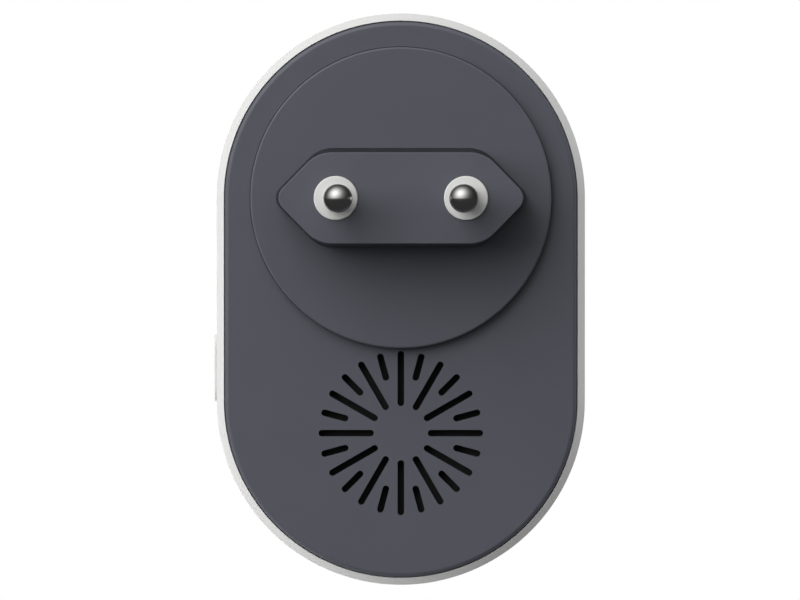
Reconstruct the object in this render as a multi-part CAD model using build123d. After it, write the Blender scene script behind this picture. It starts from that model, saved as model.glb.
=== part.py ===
from build123d import *

import math
import os

# A plug-in ultrasonic pest repeller for a round-pin wall socket.
#
# Frame: millimetres, +Z up. The origin is the middle of the plug face, between the two pins.
# +Y points out of the back of the device, into the socket, and -Y points into the room.
# "Depth" is the distance forward from the plug face, so a depth d lies on the plane Y = -d.

# ---- Driving dimensions -------------------------------------------------------------------

# Housing outline: a pill whose upper end is concentric with the plug.
BODY_WIDTH = 53.2
BODY_HEIGHT = 82.6
PILL_CENTRE_Z = (BODY_WIDTH - BODY_HEIGHT) / 2

# Round-pin plug: 4 mm pins, 19 mm long, 18.6 mm apart at the face and 17.5 mm at the tips.
PIN_SPACING_FACE = 18.6
PIN_SPACING_TIP = 17.5
PIN_LENGTH = 19.0
PIN_RADIUS = 2.0
PIN_TIP_ROUND = 1.95
PIN_CORE_RADIUS = 1.45
PIN_HEAD_RADIUS = 2.6
PIN_HEAD_THICK = 1.2
PIN_TAIL_RADIUS = 1.1
PIN_TAIL_DEPTH = 19.0
PIN_TILT = math.degrees(math.atan((PIN_SPACING_FACE - PIN_SPACING_TIP) / 2 / PIN_LENGTH))
SLEEVE_LENGTH = 10.0
SLEEVE_RADIUS = 1.8
SLEEVE_BORE_GAP = 0.02
COLLAR_RADIUS = 3.15
COLLAR_PROUD = 0.4
COLLAR_ROUND = 0.2
COLLAR_END_DEPTH = 7.0
FLANGE_RADIUS = 3.7
FLANGE_END_DEPTH = 8.5
SLEEVE_SEAT_GAP = 0.03

# Plug body: a six-sided block with drafted walls.
PLUG_HALF_WIDTH = 18.25
PLUG_SHOULDER_X = 11.9
PLUG_HALF_HEIGHT = 6.5
PLUG_TOP_DRAFT = 3.8
PLUG_FLANK_DRAFT = 2.2
PLUG_SHOULDER_ROUND = 5.0
PLUG_NOSE_ROUND = 2.0
PLUG_EDGE_ROUND = 0.2
PLUG_WALL = 2.0
PIN_TUBE_RADIUS = 4.8
SCREW_RIB_WIDTH = 5.0

# Depths of the faces, from the plug face forward to the front of the housing.
DISC_DEPTH = 10.0
COVER_DEPTH = 11.8
RIM_DEPTH = 12.4
BODY_DEPTH = 28.0
FRONT_DEPTH = COVER_DEPTH + BODY_DEPTH

# Round plug disc, the shallow seat that it stands in, and the pegs that hold it.
DISC_RADIUS = 21.7
DISC_SEAT = 0.5
DISC_SEAT_GAP = 0.08
DISC_EDGE_ROUND = 0.3
PEG_OFFSET = 12.4
PEG_RADIUS = 1.5
PEG_HOLE_GAP = 0.05
PEG_HEAD_RADIUS = 2.3
PEG_HEAD_HEIGHT = 0.9
SEAT_DEPTH = COVER_DEPTH + DISC_SEAT

# Housing walls, and the snap hooks that hold the cover.
SHELL_WALL = 2.0
RIM_WIDTH = 1.08
RIM_CHAMFER = 1.0
FRONT_ROUND = 9.0
COVER_GAP = 0.1
COVER_PLATE = 2.0
COVER_EDGE_ROUND = 0.45
COVER_INNER_DEPTH = COVER_DEPTH + COVER_PLATE
FRONT_INNER_DEPTH = FRONT_DEPTH - SHELL_WALL
SKIRT_WALL = 1.2
SKIRT_HEIGHT = 3.0
HOOK_WIDTH = 6.0
HOOK_HEIGHT = 6.0
HOOK_Z = (-6.0, -21.0)
BARB_HEIGHT = 1.4
BARB_FLAT = 0.4
BARB_REACH = 0.5
POCKET_GAP = 0.15
COVER_OPENING_WIDTH = 29.0
COVER_OPENING_HEIGHT = 9.4
COVER_OPENING_ROUND = 2.0

# Sound grille: a sunburst of long and short slots in turn.
GRILLE_Z = -34.0
GRILLE_SLOTS = 24
GRILLE_OUTER = 11.87
GRILLE_LONG_INNER = 3.9
GRILLE_SHORT_INNER = 7.85
GRILLE_SLOT_WIDTH = 0.95

# Ultrasonic transducer behind the grille.
CLOTH_RADIUS = 13.2
CLOTH_THICK = 0.2
GASKET_THICK = 0.8
GASKET_INNER = 12.2
GASKET_DEPTH = COVER_INNER_DEPTH + CLOTH_THICK
CAN_RADIUS = 13.4
CAN_WALL = 1.2
CAN_HEIGHT = 7.0
CAN_DEPTH = GASKET_DEPTH + GASKET_THICK
CAN_END_DEPTH = CAN_DEPTH + CAN_HEIGHT
CAN_LEDGE_INNER = 9.0
CAN_LEDGE_THICK = 0.8
CAN_VENT_RADIUS = 1.5
RING_INNER = 13.7
RING_WALL = 1.3
RING_HEIGHT = 6.0
BRASS_DEPTH = 18.2
BRASS_RADIUS = 10.0
BRASS_THICK = 0.25
CERAMIC_RADIUS = 7.0
CERAMIC_THICK = 0.25
CONE_MOUTH_RADIUS = 8.8
CONE_MOUTH_DEPTH = 15.3
CONE_THROAT_RADIUS = 2.4
CONE_WALL = 0.4
CLAMP_SCREW_X = 17.2
CLAMP_LENGTH = 39.6
CLAMP_WIDTH = 8.0
CLAMP_THICK = 1.2
CLAMP_BOSS_GAP = 0.05
SOUND_LEAD_X = 2.5
SOUND_LEAD_Z = -41.0
SOUND_LEAD_RADIUS = 0.5
SOUND_LEAD_START = 19.6
SOUND_LEAD_HOLE = 0.55

# Self-tapping screws and their bosses.
SCREW_RADIUS = 1.0
SCREW_HEAD_RADIUS = 1.9
SCREW_HEAD_TOP_RADIUS = 1.4
SCREW_HEAD_HEIGHT = 1.3
SCREW_HEAD_EDGE = 0.6
SCREW_POINT_RADIUS = 0.3
SCREW_POINT_LENGTH = 0.9
SCREW_RECESS_LENGTH = 2.2
SCREW_RECESS_WIDTH = 0.55
SCREW_RECESS_DEPTH = 0.7
SCREW_HOLE_RADIUS = 1.2
PILOT_RADIUS = 1.02
PILOT_EXTRA = 0.8
BOSS_RADIUS = 2.5
SHORT_SCREW = 6.0
LONG_SCREW = 10.5

# Bar that holds the pins and clamps the plug to the cover.
RETAINER_WIDTH = 32.0
RETAINER_HEIGHT = 11.6
RETAINER_THICK = 2.0
RETAINER_ROUND = 2.5
RETAINER_POST_RADIUS = 3.6
RETAINER_BORE_RADIUS = 1.3
RETAINER_SCREW_Z = 2.3
RETAINER_END_DEPTH = COVER_INNER_DEPTH + RETAINER_THICK
RIB_GAP = 0.1

# Main board.
BOARD_THICK = 1.6
BOARD_REAR_DEPTH = 29.4
BOARD_FRONT_DEPTH = BOARD_REAR_DEPTH + BOARD_THICK
BOARD_INSET = 2.6
BOARD_SCREW_X = 14.5
BOARD_SCREW_Z = (13.5, -43.0)
BOSS_ROOT = 0.5
LEG_RADIUS = 0.3
LEG_HOLE_RADIUS = 0.45
LEG_END_DEPTH = BOARD_FRONT_DEPTH + 0.8

# Mains leads from the pin tails to the board.
LEAD_RADIUS = 0.8
LEAD_HOLE_RADIUS = 0.85
LEAD_PAD_X = 15.0
LEAD_PAD_Z = 4.5
LEAD_KNEE_DEPTHS = (21.6, 25.6)
LEAD_BEND = 1.8

# Side button and the switch that it presses, on the +X side.
BUTTON_Z = -24.95
BUTTON_DEPTH = 26.1
BUTTON_LENGTH = 9.7
BUTTON_WIDTH = 4.0
BUTTON_PROUD = 0.6
BUTTON_EDGE_ROUND = 0.15
BUTTON_SLOT_GAP = 0.15
BUTTON_FLANGE = 0.95
BUTTON_FLANGE_THICK = 1.0
BUTTON_FLANGE_GAP = 0.1
BUTTON_STEM_RADIUS = 1.4
SWITCH_INNER_X = 18.1
SWITCH_FACE_X = 21.6
SWITCH_WIDTH = 6.0
SWITCH_REAR_DEPTH = 22.9
PLUNGER_RADIUS = 1.75
PLUNGER_FIT = 0.08
PLUNGER_REACH = 1.2
PLUNGER_LENGTH = 2.2
PLUNGER_GAP = 0.05
PLUNGER_TRAVEL = 0.45
DOME_RADIUS = 1.6
DOME_RISE = 0.2
DOME_THICK = 0.1
SWITCH_LEG_X = (18.7, 21.0)
SWITCH_LEG_SPREAD = 2.3
SWITCH_LEG_WIDTH = 0.6

# Indicator and its window in the front.
LED_RADIUS = 1.5
LED_FLANGE_RADIUS = 1.9
LED_FLANGE_THICK = 1.0
LED_HEIGHT = 3.7
LED_LEG_X = 1.27
PIPE_RADIUS = 1.6
PIPE_GAP = 0.05
PIPE_FLANGE_RADIUS = 2.6
PIPE_FLANGE_THICK = 1.2
PIPE_EDGE_ROUND = 0.3

# Parts on the rear of the board: place as (x, z), and size.
FILM_PLACE = (0.0, 12.5)
FILM_SIZE = (18.0, 6.0, 11.0)
FILM_LEG_X = 7.5
BULK_PLACE = (-16.5, -8.5)
BULK_RADIUS = 4.0
BULK_HEIGHT = 11.5
OUTPUT_PLACE = (-18.0, -19.5)
OUTPUT_RADIUS = 3.15
OUTPUT_HEIGHT = 9.0
CAN_GROOVE_HEIGHT = 1.6
CAN_GROOVE_DEPTH = 0.3
CAPACITOR_LEG_X = 1.25
VARISTOR_PLACE = (-5.5, 19.0)
VARISTOR_RADIUS = 3.5
VARISTOR_THICK = 3.6
VARISTOR_STAND = 1.2
VARISTOR_LEG_X = 2.5
FUSE_PLACE = (5.5, 19.0)
FUSE_RADIUS = 1.5
FUSE_LENGTH = 8.0
FUSE_STAND = 0.4
FUSE_LEG_X = 5.0
BRIDGE_PLACE = (-6.5, -2.6)
BRIDGE_SIZE = (8.3, 6.4, 3.3)
BRIDGE_LEG = (2.5, 2.6)
TRANSISTOR_PLACES = ((-7.0, -28.0), (5.0, -28.0))
TRANSISTOR_SIZE = (6.5, 3.5, 1.6)
TRANSISTOR_TAB = (3.0, 1.6, 0.3)

# Transformer, on the rear of the board.
CORE_PLACE = (4.0, -13.0)
CORE_WIDTH = 10.8
CORE_THICK = 4.6
CORE_HEIGHT = 9.0
CORE_LEG = 1.1
CORE_YOKE = 1.5
CORE_CENTRE_LEG = 2.6
CORE_AIR_GAP = 0.05
CORE_REAR_DEPTH = BOARD_REAR_DEPTH - CORE_HEIGHT
BOBBIN_GAP = 0.05
BOBBIN_WALL = 0.5
BOBBIN_FLANGE_SIZE = (8.4, 9.4)
BOBBIN_FLANGE = 0.6
BOBBIN_BASE = (9.0, 2.4, 3.0)
BOBBIN_BASE_Z = 5.4
BOBBIN_LEG_X = 3.2
WINDING_RADIUS = 4.1

# Parts on the front of the board.
CHIP_PLACE = (-7.0, -20.0)
CHIP_SIZE = (8.7, 3.9, 1.5)
CHIP_STAND = 0.15
CHIP_LEGS = 7
CHIP_LEG_PITCH = 1.27
CHIP_LEG_SIZE = (0.42, 6.0, 0.3)
RESISTOR_SIZE = (2.0, 1.25, 0.5)
RESISTOR_GRID = (4, 2)
RESISTOR_PITCH = (4.0, 3.2)
RESISTOR_CENTRE = (4.0, -26.0)


# ---- Shape helpers ------------------------------------------------------------------------


def at_depth(depth):
    """Sketch plane facing forward, so that its local X and Y are the frame's X and Z."""
    return Plane.XZ.offset(depth)


def slab(sketch, start, end):
    """Flat outline made solid between two depths."""
    return extrude(at_depth(start) * sketch, amount=end - start)


def bar(radius, start, end, x=0.0, z=0.0):
    """Round bar along the depth direction."""
    return slab(Pos(x, z) * Circle(radius), start, end)


def block(width, height, start, end, x=0.0, z=0.0):
    """Rectangular block between two depths."""
    return slab(Pos(x, z) * Rectangle(width, height), start, end)


def block_on(surface, place, size):
    """Block standing on the rear of a surface at that depth, from (width, height, depth)."""
    return block(size[0], size[1], surface - size[2], surface, *place)


def side_bar(sketch, start, end):
    """Outline drawn on the side wall at the button, made solid between two X."""
    centre = Pos(-BUTTON_DEPTH, BUTTON_Z)
    return extrude(Plane.YZ.offset(start) * centre * sketch, amount=end - start)


def pill(inset):
    """Housing outline, moved inwards by the inset."""
    return Pos(0, PILL_CENTRE_Z) * obround(BODY_HEIGHT - 2 * inset, BODY_WIDTH - 2 * inset)


def obround(length, width):
    """Upright obround of that overall length and width."""
    return SlotOverall(length, width, rotation=90)


def turned(points):
    """Solid of revolution about the Y axis, from (radius, depth) points."""
    outline = Polyline(*[(radius, -depth) for radius, depth in points], close=True)
    return revolve(make_face(outline), Axis.Y)


def rear_edges(shape):
    """The edges that lie furthest back, towards the socket."""
    return shape.edges().group_by(Axis.Y)[-1]


def front_edges(shape):
    """The edges that lie furthest forward, towards the room."""
    return shape.edges().group_by(Axis.Y)[0]


def both_sides(shape):
    """The shape and its mirror image on the other side of the middle plane."""
    return [shape, mirror(shape, about=Plane.YZ)]


def pin_frame(side):
    """Where a pin stands: on the plug face, leaning in towards the other pin's tip."""
    return Pos(side * PIN_SPACING_FACE / 2, 0, 0) * Rot(0, 0, side * PIN_TILT)


def screw(x, z, seat, forward, length):
    """Pan-head self-tapping screw with its head on the seat depth."""
    way = 1 if forward else -1
    head_edge = SCREW_HEAD_HEIGHT - SCREW_HEAD_EDGE
    profile = (
        (0, -SCREW_HEAD_HEIGHT),
        (SCREW_HEAD_TOP_RADIUS, -SCREW_HEAD_HEIGHT),
        (SCREW_HEAD_RADIUS, -head_edge),
        (SCREW_HEAD_RADIUS, 0),
        (SCREW_RADIUS, 0),
        (SCREW_RADIUS, length - SCREW_POINT_LENGTH),
        (SCREW_POINT_RADIUS, length),
        (0, length),
    )
    body = Pos(x, 0, z) * turned([(radius, seat + way * along) for radius, along in profile])
    top = seat - way * SCREW_HEAD_HEIGHT
    bottom = top + way * SCREW_RECESS_DEPTH
    recess = (min(top, bottom), max(top, bottom), x, z)
    body -= block(SCREW_RECESS_LENGTH, SCREW_RECESS_WIDTH, *recess)
    return body - block(SCREW_RECESS_WIDTH, SCREW_RECESS_LENGTH, *recess)


def legs(places, start):
    """Thin round legs from a part down through the board."""
    return [bar(LEG_RADIUS, start, LEG_END_DEPTH, x, z) for x, z in places]


def pair_of_legs(place, spread):
    """Leg places on both sides of a part's centre."""
    return [(place[0] + side * spread, place[1]) for side in (-1, 1)]


def four_legs(place, spread):
    """Leg places at the corners of a rectangle about a part's centre."""
    x, z = place
    return [(x + i * spread[0], z + j * spread[1]) for i in (-1, 1) for j in (-1, 1)]


def joined(pieces):
    """One solid from pieces that overlap."""
    return pieces[0].fuse(*pieces[1:])


# ---- Housing ------------------------------------------------------------------------------


def board_screw_places():
    """The four screws of the main board."""
    return [(side * BOARD_SCREW_X, z) for side in (-1, 1) for z in BOARD_SCREW_Z]


def hook_pocket(z):
    """Room for one barb in the +X wall of the housing."""
    inner_x = BODY_WIDTH / 2 - SHELL_WALL
    outer_x = inner_x + BARB_REACH + POCKET_GAP
    end = COVER_INNER_DEPTH + HOOK_HEIGHT + POCKET_GAP
    start = COVER_INNER_DEPTH + HOOK_HEIGHT - BARB_HEIGHT - POCKET_GAP
    width = outer_x - inner_x + SHELL_WALL
    return block(width, HOOK_WIDTH + 2 * POCKET_GAP, start, end, outer_x - width / 2, z)


def front_shell():
    """White tub: front, side walls and the rim that the cover drops into."""
    shell = slab(pill(0), RIM_DEPTH, FRONT_DEPTH)
    shell = fillet(front_edges(shell), FRONT_ROUND)
    shell = chamfer(rear_edges(shell), RIM_CHAMFER)
    hollow = slab(pill(SHELL_WALL), COVER_INNER_DEPTH, FRONT_INNER_DEPTH)
    hollow = fillet(front_edges(hollow), FRONT_ROUND - SHELL_WALL)
    shell -= hollow
    shell -= slab(pill(RIM_WIDTH), RIM_DEPTH, COVER_INNER_DEPTH)
    for z in HOOK_Z:
        for pocket in both_sides(hook_pocket(z)):
            shell -= pocket
    for x, z in board_screw_places():
        shell += bar(BOSS_RADIUS, BOARD_FRONT_DEPTH, FRONT_INNER_DEPTH + BOSS_ROOT, x, z)
        pilot_end = BOARD_REAR_DEPTH + SHORT_SCREW + PILOT_EXTRA
        shell -= bar(PILOT_RADIUS, BOARD_FRONT_DEPTH, pilot_end, x, z)
    slot = obround(BUTTON_LENGTH + 2 * BUTTON_SLOT_GAP, BUTTON_WIDTH + 2 * BUTTON_SLOT_GAP)
    shell -= side_bar(slot, BODY_WIDTH / 2 - 2 * SHELL_WALL, BODY_WIDTH / 2 + 1)
    return shell - bar(PIPE_RADIUS + PIPE_GAP, FRONT_INNER_DEPTH - 1, FRONT_DEPTH + 1)


def grille_slot(index):
    """One slot of the sunburst; even ones are long."""
    inner = GRILLE_SHORT_INNER if index % 2 else GRILLE_LONG_INNER
    length = GRILLE_OUTER - inner
    outline = SlotOverall(length, GRILLE_SLOT_WIDTH)
    turn = Rot(0, 0, index * 360 / GRILLE_SLOTS)
    return Pos(0, GRILLE_Z) * turn * Pos(inner + length / 2, 0) * outline


def snap_hook(z):
    """Hook on the +X side of the cover's skirt, with its barb."""
    outer_x = BODY_WIDTH / 2 - SHELL_WALL - COVER_GAP
    end = COVER_INNER_DEPTH + HOOK_HEIGHT
    arm = block(SKIRT_WALL, HOOK_WIDTH, COVER_INNER_DEPTH, end, outer_x - SKIRT_WALL / 2, z)
    barb_x = outer_x + BARB_REACH
    barb = Polyline(
        (outer_x - SKIRT_WALL / 2, -(end - BARB_HEIGHT)),
        (barb_x, -(end - BARB_HEIGHT)),
        (barb_x, -(end - BARB_HEIGHT + BARB_FLAT)),
        (outer_x, -end),
        (outer_x - SKIRT_WALL / 2, -end),
        close=True,
    )
    return arm + extrude(Plane.XY.offset(z - HOOK_WIDTH / 2) * make_face(barb), amount=HOOK_WIDTH)


def rear_cover():
    """Dark back plate with the grille, the disc seat and the transducer's ring."""
    plate = slab(pill(RIM_WIDTH + COVER_GAP), COVER_DEPTH, COVER_INNER_DEPTH)
    plate = fillet(rear_edges(plate), COVER_EDGE_ROUND)
    skirt_inset = SHELL_WALL + COVER_GAP
    skirt = pill(skirt_inset) - pill(skirt_inset + SKIRT_WALL)
    plate += slab(skirt, COVER_INNER_DEPTH, COVER_INNER_DEPTH + SKIRT_HEIGHT)
    for z in HOOK_Z:
        for hook in both_sides(snap_hook(z)):
            plate += hook
    ring_end = COVER_INNER_DEPTH + RING_HEIGHT
    boss_end = CAN_END_DEPTH - CLAMP_BOSS_GAP
    plate += bar(RING_INNER + RING_WALL, COVER_INNER_DEPTH, ring_end, 0, GRILLE_Z)
    for x, z in clamp_screw_places():
        plate += bar(BOSS_RADIUS, COVER_INNER_DEPTH, boss_end, x, z)
    plate -= bar(RING_INNER, COVER_INNER_DEPTH, boss_end + 1, 0, GRILLE_Z)
    for x, z in clamp_screw_places():
        pilot_start = CAN_END_DEPTH + CLAMP_THICK - SHORT_SCREW - PILOT_EXTRA
        plate -= bar(PILOT_RADIUS, pilot_start, boss_end, x, z)
    plate -= bar(DISC_RADIUS + DISC_SEAT_GAP, COVER_DEPTH - 1, SEAT_DEPTH)
    opening = RectangleRounded(COVER_OPENING_WIDTH, COVER_OPENING_HEIGHT, COVER_OPENING_ROUND)
    plate -= slab(opening, SEAT_DEPTH - 1, COVER_INNER_DEPTH + 1)
    for x, z in peg_places():
        plate -= bar(PEG_RADIUS + PEG_HOLE_GAP, SEAT_DEPTH - 1, COVER_INNER_DEPTH + 1, x, z)
    slots = [grille_slot(index) for index in range(GRILLE_SLOTS)]
    return plate - [slab(slot, COVER_DEPTH - 1, COVER_INNER_DEPTH + 1) for slot in slots]


def light_pipe():
    """Clear window that carries the indicator's light to the front."""
    rod = bar(PIPE_RADIUS, FRONT_INNER_DEPTH - PIPE_FLANGE_THICK, FRONT_DEPTH)
    rod = fillet(front_edges(rod), PIPE_EDGE_ROUND)
    flange_start = FRONT_INNER_DEPTH - PIPE_FLANGE_THICK
    return rod + bar(PIPE_FLANGE_RADIUS, flange_start, FRONT_INNER_DEPTH)


# ---- Plug ---------------------------------------------------------------------------------


def peg_places():
    """The four pegs that hold the plug disc to the cover."""
    return [(i * PEG_OFFSET, j * PEG_OFFSET) for i in (-1, 1) for j in (-1, 1)]


def plug_outline(depth=0):
    """Six-sided outline of the plug body at one depth, with its corners rounded."""
    flank = math.atan2(PLUG_HALF_HEIGHT, PLUG_HALF_WIDTH - PLUG_SHOULDER_X)
    spread = depth * math.tan(math.radians(PLUG_FLANK_DRAFT)) / math.sin(flank)
    half_height = PLUG_HALF_HEIGHT + depth * math.tan(math.radians(PLUG_TOP_DRAFT))
    half_width = PLUG_HALF_WIDTH + spread
    shoulder_x = half_width - half_height / math.tan(flank)
    corners = (
        (shoulder_x, half_height),
        (half_width, 0),
        (shoulder_x, -half_height),
        (-shoulder_x, -half_height),
        (-half_width, 0),
        (-shoulder_x, half_height),
    )
    outline = make_face(Polyline(*corners, close=True))
    ordered = outline.vertices().sort_by(lambda vertex: abs(vertex.X))
    outline = fillet(ordered[-2:], PLUG_NOSE_ROUND)
    shoulders = outline.vertices().sort_by(lambda vertex: abs(vertex.X))[:4]
    return fillet(shoulders, PLUG_SHOULDER_ROUND)


def pin_room(radius, start, end, side):
    """Bar along one pin's own axis, between two depths."""
    return pin_frame(side) * bar(radius, start, end)


def plug_carrier():
    """Plug body on its round disc, hollow, with two pin tubes and four pegs."""
    ends = [at_depth(depth) * plug_outline(depth) for depth in (0, DISC_DEPTH)]
    body = fillet(rear_edges(loft(ends, ruled=True)), PLUG_EDGE_ROUND)
    disc = fillet(rear_edges(bar(DISC_RADIUS, DISC_DEPTH, SEAT_DEPTH)), DISC_EDGE_ROUND)
    carrier = body + disc
    cavity = offset(plug_outline(), -PLUG_WALL)
    carrier -= slab(cavity, PLUG_WALL, SEAT_DEPTH + 1)
    for side in (-1, 1):
        carrier += pin_room(PIN_TUBE_RADIUS, PLUG_WALL / 2, FLANGE_END_DEPTH, side)
        carrier -= pin_room(COLLAR_RADIUS + SLEEVE_SEAT_GAP, -1, COLLAR_END_DEPTH, side)
        counterbore = FLANGE_RADIUS + SLEEVE_SEAT_GAP
        carrier -= pin_room(counterbore, COLLAR_END_DEPTH, SEAT_DEPTH, side)
    rib_height = 2 * (PLUG_HALF_HEIGHT - PLUG_WALL)
    carrier += block(SCREW_RIB_WIDTH, rib_height, PLUG_WALL / 2, COVER_INNER_DEPTH - RIB_GAP)
    pilot_start = RETAINER_END_DEPTH - LONG_SCREW - PILOT_EXTRA
    for x, z in retainer_screw_places():
        carrier -= bar(PILOT_RADIUS, pilot_start, COVER_INNER_DEPTH, x, z)
    for x, z in peg_places():
        carrier += bar(PEG_RADIUS, SEAT_DEPTH - 1, COVER_INNER_DEPTH, x, z)
        head_end = COVER_INNER_DEPTH + PEG_HEAD_HEIGHT
        head = bar(PEG_HEAD_RADIUS, COVER_INNER_DEPTH, head_end, x, z)
        carrier += fillet(front_edges(head), PEG_HEAD_HEIGHT / 2)
    return carrier


def plug_pin(side):
    """Metal pin: round tip, thin core through the sleeve, head and solder tail."""
    head_end = FLANGE_END_DEPTH + PIN_HEAD_THICK
    pin = turned([
        (0, -PIN_LENGTH),
        (PIN_RADIUS, -PIN_LENGTH),
        (PIN_RADIUS, -SLEEVE_LENGTH),
        (PIN_CORE_RADIUS, -SLEEVE_LENGTH),
        (PIN_CORE_RADIUS, FLANGE_END_DEPTH),
        (PIN_HEAD_RADIUS, FLANGE_END_DEPTH),
        (PIN_HEAD_RADIUS, head_end),
        (PIN_TAIL_RADIUS, head_end),
        (PIN_TAIL_RADIUS, PIN_TAIL_DEPTH),
        (0, PIN_TAIL_DEPTH),
    ])
    return pin_frame(side) * fillet(rear_edges(pin), PIN_TIP_ROUND)


def pin_sleeve(side):
    """Insulating sleeve with the collar that shows on the plug face, and its flange."""
    bore = PIN_CORE_RADIUS + SLEEVE_BORE_GAP
    sleeve = turned([
        (bore, -SLEEVE_LENGTH),
        (SLEEVE_RADIUS, -SLEEVE_LENGTH),
        (SLEEVE_RADIUS, -COLLAR_PROUD),
        (COLLAR_RADIUS, -COLLAR_PROUD),
        (COLLAR_RADIUS, COLLAR_END_DEPTH),
        (FLANGE_RADIUS, COLLAR_END_DEPTH),
        (FLANGE_RADIUS, FLANGE_END_DEPTH),
        (bore, FLANGE_END_DEPTH),
    ])
    collar = sleeve.edges().filter_by(GeomType.CIRCLE)
    collar_rim = collar.filter_by(lambda edge: abs(edge.radius - COLLAR_RADIUS) < 0.01)
    return pin_frame(side) * fillet(collar_rim.sort_by(Axis.Y)[-1], COLLAR_ROUND)


def retainer_screw_places():
    """The two screws between the pins."""
    return [(0.0, side * RETAINER_SCREW_Z) for side in (-1, 1)]


def pin_retainer():
    """Bar inside the cover, with a post down onto the head of each pin."""
    outline = RectangleRounded(RETAINER_WIDTH, RETAINER_HEIGHT, RETAINER_ROUND)
    retainer = slab(outline, COVER_INNER_DEPTH, RETAINER_END_DEPTH)
    head_end = FLANGE_END_DEPTH + PIN_HEAD_THICK
    for side in (-1, 1):
        retainer += pin_room(RETAINER_POST_RADIUS, head_end, RETAINER_END_DEPTH - 0.5, side)
        retainer -= pin_room(RETAINER_BORE_RADIUS, 0, RETAINER_END_DEPTH + 1, side)
    for x, z in retainer_screw_places():
        retainer -= bar(SCREW_HOLE_RADIUS, 0, RETAINER_END_DEPTH + 1, x, z)
    return retainer


def carrier_screws():
    """The two long screws through the retainer into the plug body."""
    places = retainer_screw_places()
    return Compound([screw(x, z, RETAINER_END_DEPTH, False, LONG_SCREW) for x, z in places])


# ---- Transducer ---------------------------------------------------------------------------


def clamp_screw_places():
    """The two screws of the transducer's clamp."""
    return [(side * CLAMP_SCREW_X, GRILLE_Z) for side in (-1, 1)]


def sound_lead_places():
    """Where the transducer's two leads run."""
    return [(side * SOUND_LEAD_X, SOUND_LEAD_Z) for side in (-1, 1)]


def grille_cloth():
    """Thin acoustic cloth on the inside of the grille."""
    return bar(CLOTH_RADIUS, COVER_INNER_DEPTH, GASKET_DEPTH, 0, GRILLE_Z)


def transducer_gasket():
    """Foam ring between the cloth and the transducer's can."""
    ring = bar(CLOTH_RADIUS, GASKET_DEPTH, CAN_DEPTH, 0, GRILLE_Z)
    return ring - bar(GASKET_INNER, GASKET_DEPTH, CAN_DEPTH, 0, GRILLE_Z)


def transducer_can():
    """Round can with a ledge for the vibrating plate and a vented back."""
    can = turned([
        (CAN_RADIUS - CAN_WALL, CAN_DEPTH),
        (CAN_RADIUS, CAN_DEPTH),
        (CAN_RADIUS, CAN_END_DEPTH),
        (CAN_VENT_RADIUS, CAN_END_DEPTH),
        (CAN_VENT_RADIUS, CAN_END_DEPTH - CAN_WALL),
        (CAN_RADIUS - CAN_WALL, CAN_END_DEPTH - CAN_WALL),
        (CAN_RADIUS - CAN_WALL, BRASS_DEPTH + BRASS_THICK + CAN_LEDGE_THICK),
        (CAN_LEDGE_INNER, BRASS_DEPTH + BRASS_THICK + CAN_LEDGE_THICK),
        (CAN_LEDGE_INNER, BRASS_DEPTH + BRASS_THICK),
        (CAN_RADIUS - CAN_WALL, BRASS_DEPTH + BRASS_THICK),
    ])
    can = Pos(0, 0, GRILLE_Z) * can
    for x, z in sound_lead_places():
        can -= bar(SOUND_LEAD_HOLE, CAN_END_DEPTH - 2 * CAN_WALL, CAN_END_DEPTH + 1, x, z)
    return can


def transducer_plate():
    """Brass plate that vibrates."""
    return bar(BRASS_RADIUS, BRASS_DEPTH, BRASS_DEPTH + BRASS_THICK, 0, GRILLE_Z)


def transducer_ceramic():
    """Piezo ceramic bonded to the inside of the brass plate."""
    start = BRASS_DEPTH + BRASS_THICK
    return bar(CERAMIC_RADIUS, start, start + CERAMIC_THICK, 0, GRILLE_Z)


def transducer_cone():
    """Aluminium horn glued to the middle of the brass plate."""
    cone = turned([
        (0, BRASS_DEPTH),
        (CONE_THROAT_RADIUS, BRASS_DEPTH),
        (CONE_MOUTH_RADIUS, CONE_MOUTH_DEPTH),
        (CONE_MOUTH_RADIUS - CONE_WALL, CONE_MOUTH_DEPTH),
        (CONE_THROAT_RADIUS - CONE_WALL, BRASS_DEPTH - CONE_WALL),
        (0, BRASS_DEPTH - CONE_WALL),
    ])
    return Pos(0, 0, GRILLE_Z) * cone


def transducer_clamp():
    """Bracket across the can's back."""
    outline = Pos(0, GRILLE_Z) * SlotOverall(CLAMP_LENGTH, CLAMP_WIDTH)
    clamp = slab(outline, CAN_END_DEPTH, CAN_END_DEPTH + CLAMP_THICK)
    for x, z in clamp_screw_places():
        clamp -= bar(SCREW_HOLE_RADIUS, CAN_END_DEPTH - 1, CAN_END_DEPTH + CLAMP_THICK + 1, x, z)
    return clamp


def clamp_screws():
    """The two short screws through the clamp."""
    seat = CAN_END_DEPTH + CLAMP_THICK
    return Compound([screw(x, z, seat, False, SHORT_SCREW) for x, z in clamp_screw_places()])


def transducer_leads():
    """Two insulated leads from the can through the board."""
    places = sound_lead_places()
    ends = (SOUND_LEAD_START, LEG_END_DEPTH)
    return Compound([bar(SOUND_LEAD_RADIUS, *ends, x, z) for x, z in places])


# ---- Main board ---------------------------------------------------------------------------


def leg_places():
    """Every leg hole in the board."""
    places = pair_of_legs(FILM_PLACE, FILM_LEG_X)
    places += pair_of_legs(BULK_PLACE, CAPACITOR_LEG_X)
    places += pair_of_legs(OUTPUT_PLACE, CAPACITOR_LEG_X)
    places += pair_of_legs(VARISTOR_PLACE, VARISTOR_LEG_X)
    places += pair_of_legs(FUSE_PLACE, FUSE_LEG_X)
    places += pair_of_legs((0.0, 0.0), LED_LEG_X)
    places += four_legs(BRIDGE_PLACE, BRIDGE_LEG)
    places += four_legs(CORE_PLACE, (BOBBIN_LEG_X, BOBBIN_BASE_Z))
    places += switch_leg_places()
    return places


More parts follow.
